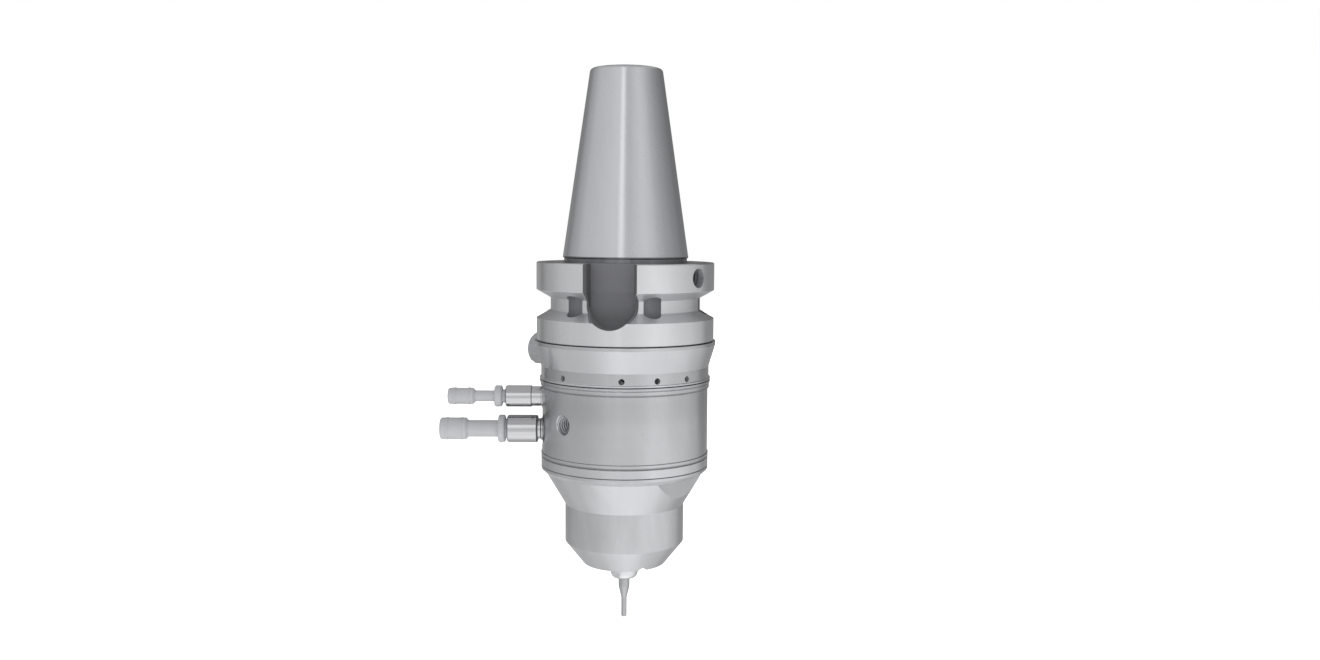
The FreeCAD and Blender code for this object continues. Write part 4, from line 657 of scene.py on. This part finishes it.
def bore_mask(t, turn, height, radius):
    """1 on the wall of a hole drilled towards the axis at a turn and a height."""
    side, up, out = t.split(place_along(t, turn, height))[:3]
    near = t.below(length_of(t, side, up), (radius + 0.04) * MM)
    return both(t, near, t.above(out, 0.0))


def port_mask(t, coordinate):
    """1 on the wall of the body's side port."""
    return bore_mask(t, PORT_TURN, PORT_HEIGHT, PORT_RADIUS)


def vent_mask(t, coordinate):
    """1 on the walls of the vent holes and of the groove behind them."""
    x, y, z = t.split(coordinate)[:3]
    band = t.between(z, VENT_BAND[0] * MM, VENT_BAND[1] * MM, 0.01 * MM)
    return both(t, band, t.below(length_of(t, x, y), (VENT_BAND_RADIUS - 0.05) * MM))


def flange_dents(t, base, dark):
    """The colour with the flange's dents in it."""
    for turn, height, width, length in FLANGE_DENTS:
        side, up, out = t.split(place_along(t, turn, height))[:3]
        dent = both(
            t,
            t.between(side, -width * MM, width * MM, 0.08 * MM),
            t.between(up, -length * MM, length * MM, 0.08 * MM),
            t.above(out, 0.0),
        )
        base = t.mix(t.multiply(dent, 0.45), base, dark)
    return base


def shank_steel():
    """The taper is ground, the flange satin and the keyways dull, all on one piece, with painted shade in
    the relief under the taper and in the holes, and a painted dark reflection on the flange's top face.
    """
    colours = settings("finishes")
    material, t, shader, coordinate, base = steel(
        "Shank steel", colours.taper, 0.27, 0.35 * MM, 0.35, wear=0.5
    )
    x, y, z = t.split(coordinate)[:3]
    radius = length_of(t, x, y)
    on_flange = t.between(z, FLANGE_BOTTOM * MM, FLANGE_TOP * MM + 0.2 * MM, 0.1 * MM)
    toned = t.times(on_flange, base, [colours.flange[i] / colours.taper[i] for i in range(3)])
    # Painted shadow in the relief between the taper and the flange
    relief_shadow = both(
        t,
        t.between(z, (FLANGE_TOP - 0.35) * MM, 0.12 * MM, 0.04 * MM),
        t.below(radius, (TAPER_RADIUS + 0.22) * MM),
    )
    # Painted dark reflection on the flange's top face
    face_reflection = both(
        t,
        t.above(z, (FLANGE_TOP - 0.02) * MM),
        t.above(radius, (TAPER_RADIUS + 0.15) * MM),
    )
    toned = t.mix(t.multiply(face_reflection, 0.55), toned, grey(colours.keyway, 1.0))
    toned = t.mix(t.multiply(relief_shadow, 0.8), toned, grey(colours.keyway, 0.5))
    toned = flange_dents(t, toned, grey(colours.keyway, 0.9))
    rim = t.between(z, TAPER_TOP * MM, 1.0, 0.05 * MM)
    toned = t.mix(t.multiply(rim, 0.8), toned, grey(colours.keyway, 0.7))
    side_hole = bore_mask(t, SIDE_HOLE_TURN, SIDE_HOLE_HEIGHT, SIDE_HOLE_RADIUS)
    holes = t.math("MAXIMUM", access_mask(t, coordinate), side_hole)
    keyways = keyway_mask(t)
    mask = t.math("MAXIMUM", keyways, holes)
    milled = t.mix(t.noise(coordinate, 900.0, 2.0), grey(colours.keyway, 0.92), grey(colours.keyway, 1.08))
    # The holes' walls take a dark grey that paints the shade inside them
    drilled = t.mix(t.noise(coordinate, 700.0, 2.0), grey(colours.keyway, 1.75), grey(colours.keyway, 2.0))
    chamfers = t.multiply(keyways, keyway_edge(t))
    milled = t.mix(t.multiply(chamfers, 0.75), milled, grey(colours.keyway, 0.45))
    t.feed(t.mix(mask, toned, t.mix(holes, milled, drilled)), shader.inputs["Base Color"])
    groove = both(
        t,
        t.between(z, (GROOVE_BOTTOM + 0.03) * MM, (GROOVE_TOP - 0.03) * MM, 0.02 * MM),
        t.below(radius, (FLANGE_RADIUS - 0.03) * MM),
    )
    rough = shader.inputs["Roughness"].links[0].from_socket
    rough = t.add(rough, t.multiply(mask, 0.38), clamp=True)
    rough = t.add(rough, t.multiply(groove, 0.16), clamp=True)
    t.feed(rough, shader.inputs["Roughness"])
    t.feed(t.subtract(1.0, t.multiply(mask, 0.75)), shader.inputs["Metallic"])
    return material


def seamed_steel(name, colour, rough, seams, spacing=0.3 * MM, holes=(), bands=(), **more):
    """Turned steel with painted shade in the lines where its steps meet, dull holes whose colour paints the
    light and shade inside them, and bands of painted light and shade.
    """
    material, t, shader, coordinate, base = steel(name, colour, rough, spacing, 1.0, **more)
    z = t.split(coordinate)[2]
    # Bands of painted light and shade
    for low, high, gain, soft in bands:
        base = t.times(t.between(z, low * MM, high * MM, soft * MM), base, (gain, gain, gain))
    dull = 0.0
    # A gain on each hole's colour paints the shade inside it, and a gain over 1 paints the light bounced
    # inside it
    for build_mask, gain in holes:
        bored = build_mask(t, coordinate)
        base = t.mix(bored, base, grey(colour, gain))
        dull = t.math("MAXIMUM", dull, bored)
    if holes:
        rough_before = shader.inputs["Roughness"].links[0].from_socket
        t.feed(t.add(rough_before, t.multiply(dull, 0.25)), shader.inputs["Roughness"])
        t.feed(t.subtract(1.0, t.multiply(dull, 0.8)), shader.inputs["Metallic"])
    # Lines of painted shade in the seams and under beads and steps
    seam_shade = 0.0
    for height, half, depth in seams:
        soft = 0.05 if half < 0.25 else half * 0.5
        line = t.between(z, (height - half) * MM, (height + half) * MM, soft * MM)
        seam_shade = t.math("MAXIMUM", seam_shade, t.multiply(line, depth))
    t.feed(t.mix(seam_shade, base, grey(colour, 0.16)), shader.inputs["Base Color"])
    return material


def threaded_steel(name, colour, turn, height, start, end, pitch):
    """Plated steel whose outside carries a thread between two distances from the spindle's axis, with
    painted shade in its roots and painted light on its crests.
    """
    material, t, shader, coordinate, base = steel(
        name, colour, 0.24, 0.2 * MM, 0.6, place=lambda t: place_along(t, turn, height), axis="X", grain=0.3
    )
    carries = t.between(t.split(coordinate)[2], start * MM, end * MM, 0.3 * MM)
    wound = t.group(GROUPS["screw"], Coordinate=coordinate, Pitch=pitch)["Height"]
    wound = t.multiply(wound, carries)
    smooth = shader.inputs["Normal"].links[0].from_socket
    t.feed(t.bump(wound, smooth, 0.9, 0.35 * MM), shader.inputs["Normal"])
    # Painted shade in the thread's roots, painted light on its crests
    roots = t.mix(t.multiply(wound, 0.45), grey(colour, 0.45), grey(colour, 1.1))
    t.feed(t.mix(t.multiply(carries, 0.6), base, roots), shader.inputs["Base Color"])
    return material


def cut_thread_steel(name, colour, metal, turn, height, root):
    """Steel of a thread in a hole, with painted shade in its roots, which lie past a distance from the
    hole's axis.
    """
    material, t, shader, coordinate, base = steel(
        name, colour, 0.40, 0.3 * MM, 0.5,
        place=lambda t: place_along(t, turn, height), grain=0.0, metal=metal,
    )
    side, up = t.split(coordinate)[:2]
    deep = t.between(length_of(t, side, up), root * MM, 1.0, 0.1 * MM)
    # Painted shade in the thread's roots
    t.feed(t.mix(t.multiply(deep, 0.75), base, grey(colour, 0.3)), shader.inputs["Base Color"])
    return material


def plastic(name, colour):
    """Moulded plastic with grain, flow marks and slightly polished edges."""
    material, t, shader = new_material(name)
    coordinate = object_place(t)
    marks = t.group(GROUPS["moulded"], Coordinate=coordinate, Grain_Size=0.14 * MM)
    hands = t.group(GROUPS["handling"], Coordinate=coordinate, Amount=0.7)
    edges = t.group(GROUPS["edges"], Width=0.25 * MM)
    base = t.mix(marks["Flow"], grey(colour, 0.94), grey(colour, 1.05))
    base = t.mix(t.multiply(edges["Edge"], 0.35), base, grey(colour, 1.12))
    base = t.mix(t.multiply(hands["Nicks"], 0.35), base, grey(colour, 0.6))
    t.feed(base, shader.inputs["Base Color"])
    t.feed(t.add(t.multiply(hands["Smears"], 0.16), 0.42), shader.inputs["Roughness"])
    t.feed(t.bump(marks["Grain"], edges["Normal"], 0.22, 0.02 * MM), shader.inputs["Normal"])
    shader.inputs["Subsurface Weight"].default_value = 0.08
    shader.inputs["Subsurface Radius"].default_value = (0.6 * MM, 0.6 * MM, 0.6 * MM)
    return material


def rubber(name, colour):
    """Moulded rubber with a dusty bloom."""
    material, t, shader = new_material(name)
    coordinate = object_place(t)
    marks = t.group(GROUPS["moulded"], Coordinate=coordinate, Grain_Size=0.2 * MM)
    base = t.mix(marks["Flow"], grey(colour, 0.8), grey(colour, 1.9))
    t.feed(base, shader.inputs["Base Color"])
    t.feed(t.scaled(marks["Grain"], 0.52, 0.72), shader.inputs["Roughness"])
    t.feed(t.bump(marks["Grain"], None, 0.2, 0.03 * MM), shader.inputs["Normal"])
    return material


FINISHES = {}


def build_finishes():
    colours = settings("finishes")
    FINISHES["taper_shank"] = shank_steel()
    # The holes' gains paint shade into the port and the vent holes, and light into the groove behind the
    # vents
    FINISHES["main_housing"] = seamed_steel(
        "Body steel", grey(colours.body, 0.93), 0.25, BODY_SEAMS,
        holes=[(port_mask, 0.75), (vent_mask, 1.9)], bands=BODY_LIGHT_AND_SHADE,
    )
    FINISHES["vent_ring"] = seamed_steel(
        "Vent ring steel", colours.body, 0.24, VENT_RING_SEAMS,
        holes=[(vent_mask, 0.8)], bands=VENT_RING_LIGHT_AND_SHADE,
    )
    FINISHES["front_housing"] = seamed_steel(
        "Front housing steel", colours.body, 0.26, [], 0.45 * MM, bands=FRONT_LIGHT_AND_SHADE, wipe=0.11
    )
    for line, height in (("drive", DRIVE_HEIGHT), ("bearing", BEARING_HEIGHT)):
        FINISHES[f"{line}_fitting_body"] = seamed_steel(
            f"Nickel of the {line} fitting", colours.nickel, 0.2, FITTING_SEAMS[line], 0.22 * MM,
            place=lambda t, height=height: place_along(t, FITTING_TURN, height),
            axis="X", wear=0.4, grain=0.4,
        )
    FINISHES["port_thread"] = cut_thread_steel(
        "Port thread", grey(colours.keyway, 2.6), 0.7, PORT_TURN, PORT_HEIGHT, PORT_RADIUS - 0.22
    )
    # The side hole's thread takes a dark grey that paints the shade inside its hole
    FINISHES["side_thread"] = cut_thread_steel(
        "Side thread", grey(colours.keyway, 1.45), 0.25, SIDE_HOLE_TURN, SIDE_HOLE_HEIGHT,
        SIDE_HOLE_RADIUS - 0.09,
    )
    FINISHES["sensor_socket"] = threaded_steel(
        "Sensor socket", colours.nickel, SENSOR_TURN, SENSOR_HEIGHT, *SOCKET_THREAD,
        settings("threads").socket_pitch,
    )
    # Name, colour, roughness, spacing of the rings in millimetres, their strength and the axis they go round
    plain = {
        "ground_steel": ("Ground steel", colours.taper, 0.24, 0.25, 1.0, "Z"),
        "polished_steel": ("Polished steel", colours.body, 0.22, 0.3, 1.0, "Z"),
        "dark_steel": ("Dark steel", colours.dark, 0.33, 0.3, 0.8, "Z"),
        "collet_nut": ("Nut steel", grey(colours.nickel, 1.24), 0.22, 0.2, 0.8, "Z"),
        "spring_steel": ("Spring steel", colours.taper, 0.2, 0.2, 0.6, "X"),
        "carbide": ("Ground carbide", colours.carbide, 0.26, 0.15, 0.9, "Z"),
        "aluminium": ("Machined aluminium", colours.aluminium, 0.3, 0.25, 1.2, "Z"),
        "bush_bronze": ("Bush bronze", colours.bronze, 0.35, 0.3, 0.8, "Z"),
        "nickel_brass": ("Nickel plate", colours.nickel, 0.2, 0.25, 0.7, "X"),
    }
    for name, (label, colour, rough, spacing, marks, axis) in plain.items():
        FINISHES[name] = steel(label, colour, rough, spacing * MM, marks, axis=axis)[0]
    FINISHES["grey_plastic"] = plastic("Grey plastic", colours.plastic)
    FINISHES["sensor_cap"] = plastic("Cap plastic", grey(colours.plastic, 0.77))
    FINISHES["black_rubber"] = rubber("Black rubber", colours.rubber)


def finish_nodes(names):
    """Give CAD nodes their own finish, or else that of the record's slot."""
    for name in names:
        for slot in NODES[name].material_slots:
            slot.material = FINISHES.get(name) or FINISHES[SLOT_OF[name]]


# Mesh building


def link_new(name, data):
    made = bpy.data.objects.new(name, data)
    bpy.context.scene.collection.objects.link(made)
    return made


def add_piece(name, mesh, material, body, matrix):
    """A piece of scene.py's own, laid by a matrix, that rides with a body."""
    piece = link_new(name, mesh)
    mesh.transform(matrix)
    mesh.materials.append(material)
    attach(piece, body)


def mesh_from(name, points, faces, smooth=True):
    mesh = bpy.data.meshes.new(name)
    mesh.from_pydata(points, [], faces)
    made = bmesh.new()
    made.from_mesh(mesh)
    bmesh.ops.recalc_face_normals(made, faces=made.faces)
    made.to_mesh(mesh)
    made.free()
    for polygon in mesh.polygons:
        polygon.use_smooth = smooth
    return mesh


def lathe(name, outline, steps=72):
    """A closed outline of radius and height in millimetres, turned round Z."""
    points = []
    faces = []
    count = len(outline)
    for i in range(steps):
        angle = 2 * math.pi * i / steps
        for radius, height in outline:
            points.append((radius * MM * math.cos(angle), radius * MM * math.sin(angle), height * MM))
    for i in range(steps):
        here = i * count
        there = (i + 1) % steps * count
        for j in range(count):
            k = (j + 1) % count
            faces.append((here + j, there + j, there + k, here + k))
    return mesh_from(name, points, faces)


def rounded(low, high, inner, outer, round_by, steps=4):
    """An outline for lathe from inner to outer radius whose two outer corners are rounded."""
    outline = [(inner, low)]
    centre = outer - round_by
    for i in range(steps + 1):
        angle = math.pi / 2 * i / steps
        height = low + round_by - round_by * math.cos(angle)
        outline.append((centre + round_by * math.sin(angle), height))
    for i in range(steps + 1):
        angle = math.pi / 2 * i / steps
        height = high - round_by + round_by * math.sin(angle)
        outline.append((centre + round_by * math.cos(angle), height))
    outline.append((inner, high))
    return outline


def thread(name, wall, depth, pitch, length, steps):
    """A ridge that winds along Z inside a hole of radius wall, in metres."""
    points = []
    faces = []
    total = int(length / pitch * steps)
    half = pitch * RIDGE_HALF_FOOT
    for i in range(total + 1):
        angle = 2 * math.pi * i / steps
        level = pitch * i / steps
        fade = min(1.0, i / steps * 2, (total - i) / steps * 2)
        for radius, shift in ((wall, -half), (wall - depth * fade, 0.0), (wall, half)):
            points.append((radius * math.cos(angle), radius * math.sin(angle), level + shift))
    for i in range(total):
        a = i * 3
        b = a + 3
        for j in range(3):
            k = (j + 1) % 3
            faces.append((a + j, b + j, b + k, a + k))
    faces.append((0, 1, 2))
    faces.append((total * 3, total * 3 + 2, total * 3 + 1))
    return mesh_from(name, points, faces, smooth=False)


def outwards(turn, height, reach):
    """Lays Z of a piece outwards at a turn, a height and a reach, all but the turn in millimetres."""
    angle = math.radians(turn)
    out = Vector((math.sin(angle), -math.cos(angle), 0.0))
    side = Vector((math.cos(angle), math.sin(angle), 0.0))
    matrix = Matrix((side, Vector((0, 0, 1)), out)).transposed().to_4x4()
    matrix.translation = out * reach * MM + Vector((0, 0, height * MM))
    return matrix


# Operators


class SPINDLE_OT_stage(bpy.types.Operator):
    """Set up the camera, the floor, the soft room and the lamp."""

    bl_idname = "spindle.stage"
    bl_label = "Studio"

    def execute(self, context):
        self.place_camera(context)
        self.light_world(context)
        studio = settings("studio")
        floor = self.make_floor(studio)
        wall = self.make_wall(studio)
        ceiling = self.make_ceiling(studio)
        for piece in (wall, ceiling):
            piece.visible_camera = False
        self.add_strip_lamp(studio.strip)
        context.scene.view_settings.view_transform = "Standard"
        return {"FINISHED"}

    def place_camera(self, context):
        values = settings("camera")
        data = bpy.data.cameras.new("photo_camera")
        data.sensor_width = 36.0
        data.lens = values.lens
        data.clip_start = 0.01
        data.clip_end = 30.0
        camera = link_new("photo_camera", data)
        ahead = math.cos(values.pitch)
        look = Vector((math.sin(values.yaw) * ahead, math.cos(values.yaw) * ahead, -math.sin(values.pitch)))
        level = Vector((math.cos(values.yaw), -math.sin(values.yaw), 0.0))
        upright = level.cross(look)
        right = level * math.cos(values.roll) + upright * math.sin(values.roll)
        up = upright * math.cos(values.roll) - level * math.sin(values.roll)
        matrix = Matrix((right, up, -look)).transposed().to_4x4()
        matrix.translation = Vector((0.0, -values.distance, values.height))
        camera.matrix_world = matrix
        context.scene.camera = camera

    def light_world(self, context):
        world = bpy.data.worlds.new("studio_world")
        context.scene.world = world
        world.use_nodes = True
        t = Tree(world.node_tree)
        world.node_tree.nodes.clear()
        rays = t.node("ShaderNodeLightPath").outputs
        shown = t.math("MAXIMUM", rays["Is Camera Ray"], rays["Is Glossy Ray"])
        shown = t.math("MAXIMUM", shown, rays["Is Transmission Ray"])
        background = t.node("ShaderNodeBackground")
        background.inputs["Color"].default_value = (1.0, 1.0, 1.0, 1.0)
        t.feed(t.scaled(shown, settings("studio").world, 1.0), background.inputs["Strength"])
        output = t.node("ShaderNodeOutputWorld")
        t.feed(background.outputs[0], output.inputs["Surface"])

    def make_floor(self, studio):
        """A pale floor that the steel sees darker, by its turn and its distance."""
        half = studio.floor_size / 2
        corners = ((-half, -half), (half, -half), (half, half), (-half, half))
        points = [(x, y, studio.floor_height) for x, y in corners]
        floor = link_new("floor", mesh_from("floor", points, [(0, 1, 2, 3)]))
        material, t, shader = new_material("Pale floor")
        coordinate = object_place(t)
        pale = t.mix(t.noise(coordinate, 30.0, 2.0), (0.80, 0.80, 0.80, 1), (0.84, 0.84, 0.84, 1))
        t.feed(pale, shader.inputs["Base Color"])
        shader.inputs["Roughness"].default_value = 0.85
        x, y = t.split(coordinate)[:2]
        away = length_of(t, x, y)
        glow = by_turn(t, coordinate, NEAR_FLOOR_LEVELS)
        for levels, (start, soft) in zip((MIDDLE_FLOOR_LEVELS, FAR_FLOOR_LEVELS), FLOOR_STEPS):
            glow = t.mix(t.between(away, start, FAR, soft), glow, by_turn(t, coordinate, levels))
        shown = t.node("ShaderNodeLightPath").outputs["Is Camera Ray"]
        t.feed(t.mix(shown, glow, (1.0, 1.0, 1.0, 1.0)), shader.inputs["Emission Color"])
        shader.inputs["Emission Strength"].default_value = 1.0
        floor.data.materials.append(material)
        return floor

    def ring(self, studio, height, steps):
        """Points round the spindle at the wall's distance."""
        radius = studio.wall_radius
        angles = [2 * math.pi * i / steps for i in range(steps)]
        return [(radius * math.cos(angle), radius * math.sin(angle), height) for angle in angles]

    def make_wall(self, studio):
        """A soft grey wall all round, brighter at the front right, that only the steel sees."""
        steps = 96
        points = self.ring(studio, studio.floor_height, steps) + self.ring(studio, studio.wall_top, steps)
        faces = []
        for i in range(steps):
            after = (i + 1) % steps
            faces.append((i, after, after + steps, i + steps))
        wall = link_new("soft_wall", mesh_from("soft_wall", points, faces))
        material, t, emission = new_material("Soft wall", "ShaderNodeEmission")
        coordinate = object_place(t)
        z = t.split(coordinate)[2]
        high = t.between(z, WALL_STEP[0], FAR, WALL_STEP[1])
        level = t.mix(high, by_turn(t, coordinate, WALL_LEVELS), by_turn(t, coordinate, HIGH_LEVELS))
        turn = turn_of(t, coordinate)
        shade = 0.0
        for around, upright, depth in WALL_SHADES:
            inside = both(t, t.between(turn, *map(math.radians, around)), t.between(z, *upright))
            shade = t.math("MAXIMUM", shade, t.multiply(inside, depth))
        t.feed(t.mix(shade, level, (0.0, 0.0, 0.0, 1.0)), emission.inputs["Color"])
        wall.data.materials.append(material)
        return wall

    def make_ceiling(self, studio):
        steps = 64
        mesh = mesh_from("soft_ceiling", self.ring(studio, studio.wall_top, steps), [tuple(range(steps))])
        material, t, emission = new_material("Soft ceiling", "ShaderNodeEmission")
        emission.inputs["Color"].default_value = grey((1.0, 1.0, 1.0), studio.ceiling)
        mesh.materials.append(material)
        return link_new("soft_ceiling", mesh)

    def add_strip_lamp(self, power):
        data = bpy.data.lights.new("strip_lamp", "AREA")
        data.shape = "RECTANGLE"
        data.size, data.size_y = STRIP_SIZE
        data.energy = power
        lamp = link_new("strip_lamp", data)
        lamp.location = STRIP_PLACE
        aim = Vector(STRIP_TARGET) - Vector(STRIP_PLACE)
        lamp.rotation_euler = aim.to_track_quat("-Z", "Y").to_euler()
        lamp.visible_camera = False


class SPINDLE_OT_housing(bpy.types.Operator):
    """Finish the shank, the rings and the housings."""

    bl_idname = "spindle.housing"
    bl_label = "Shank and housings"

    def execute(self, context):
        finish_nodes(["taper_shank", "bore_plug", "flange_screws", "vent_ring", "main_housing"])
        finish_nodes(["front_housing", "nose_ring"])
        return {"FINISHED"}


class SPINDLE_OT_threads(bpy.types.Operator):
    """Cut the threads of the side port, the flange's side hole and the draw bore."""

    bl_idname = "spindle.threads"
    bl_label = "Threads"

    def execute(self, context):
        values = settings("threads")
        self.cut("side_port_thread", "port_thread", values.port_pitch, PORT_TURN, PORT_HEIGHT)
        self.cut("side_hole_thread", "side_thread", values.side_pitch, SIDE_HOLE_TURN, SIDE_HOLE_HEIGHT)
        self.cut("draw_thread", "ground_steel", values.draw_pitch)
        return {"FINISHED"}

    def cut(self, name, finish, pitch, turn=None, height=0.0):
        """A thread in a hole towards the axis, or along the axis where no turn is given."""
        radius, depth, start, length = RIDGES[name]
        steps = settings("threads").steps
        ridge = thread(name, (radius + RIDGE_SINK) * MM, depth * MM, pitch, length * MM, steps)
        if turn is None:
            place = Matrix.Translation((0, 0, start * MM))
        else:
            place = outwards(turn, height, start)
        add_piece(name, ridge, FINISHES[finish], "housing", place)


class SPINDLE_OT_rotor(bpy.types.Operator):
    """Finish the shaft, the turbine, the collet, its nut and the cutter."""

    bl_idname = "spindle.rotor"
    bl_label = "Rotor and cutter"

    def execute(self, context):
        finish_nodes(["spindle_shaft", "turbine_wheel", "turbine_nut", "speed_target"])
        finish_nodes(["collet", "collet_nut", "end_mill"])
        return {"FINISHED"}


class SPINDLE_OT_bearings(bpy.types.Operator):
    """Finish the nozzle ring, the air bearings and the seals."""

    bl_idname = "spindle.bearings"
    bl_label = "Bearings and seals"

    def execute(self, context):
        finish_nodes(["nozzle_ring", "rear_bearing_body", "rear_bush", "rear_thrust_plate"])
        finish_nodes(["thrust_spacer", "front_thrust_plate", "front_bush"])
        finish_nodes(["shank_seal", "bearing_seals", "front_seal", "front_bush_seals"])
        return {"FINISHED"}


class SPINDLE_OT_fittings(bpy.types.Operator):
    """Finish the two air fittings and add the gasket under one and the soft bands of their plugs."""

    bl_idname = "spindle.fittings"
    bl_label = "Air fittings"

    def execute(self, context):
        for line, height in (("drive", DRIVE_HEIGHT), ("bearing", BEARING_HEIGHT)):
            finish_nodes([f"{line}_{part}" for part in ("fitting_body", "tube_seal", "grip_ring")])
            finish_nodes([f"{line}_{part}" for part in ("release_ring", "plug")])
            for index, (low, high, radius) in enumerate(PLUG_BANDS[line]):
                name = f"{line}_plug_band_{index}"
                band = lathe(name, rounded(low, high, radius - BAND_SINK, radius + BAND_RISE, 0.1))
                place = outwards(FITTING_TURN, height, 0.0)
                add_piece(name, band, FINISHES["grey_plastic"], f"{line}_plug", place)
        gasket = lathe("bearing_gasket", rounded(*GASKET))
        place = outwards(FITTING_TURN, BEARING_HEIGHT, 0.0)
        add_piece("bearing_gasket", gasket, FINISHES["nickel_brass"], "housing", place)
        return {"FINISHED"}


class SPINDLE_OT_sensor(bpy.types.Operator):
    """Finish the speed sensor, its socket and its cap."""

    bl_idname = "spindle.sensor"
    bl_label = "Sensor port"

    def execute(self, context):
        finish_nodes(["sensor_socket", "speed_sensor", "sensor_cap", "cap_seal"])
        return {"FINISHED"}


OPERATORS = [
    SPINDLE_OT_housing,
    SPINDLE_OT_threads,
    SPINDLE_OT_rotor,
    SPINDLE_OT_bearings,
    SPINDLE_OT_fittings,
    SPINDLE_OT_sensor,
    SPINDLE_OT_stage,
]


class SPINDLE_PT_panel(bpy.types.Panel):
    """Sizes, colours and steps of the spindle."""

    bl_idname = "SPINDLE_PT_panel"
    bl_label = "Spindle"
    bl_space_type = "VIEW_3D"
    bl_region_type = "UI"
    bl_category = "Spindle"

    def draw(self, context):
        layout = self.layout
        for name, kind in SETTINGS.items():
            box = layout.box()
            box.label(text=kind.__name__)
            for prop in kind.__annotations__:
                box.prop(getattr(context.scene, name), prop)
        for operator in OPERATORS:
            layout.operator(operator.bl_idname)


CLASSES = [*SETTINGS.values(), *OPERATORS, SPINDLE_PT_panel]


def register():
    for item in CLASSES:
        bpy.utils.register_class(item)
    for name, kind in SETTINGS.items():
        setattr(bpy.types.Scene, name, bpy.props.PointerProperty(type=kind))


def unregister():
    for name in SETTINGS:
        delattr(bpy.types.Scene, name)
    for item in reversed(CLASSES):
        bpy.utils.unregister_class(item)


def main():
    register()
    build_groups()
    build_finishes()
    for operator in OPERATORS:
        group, name = operator.bl_idname.split(".")
        getattr(getattr(bpy.ops, group), name)()


if __name__ == "__main__":
    main()
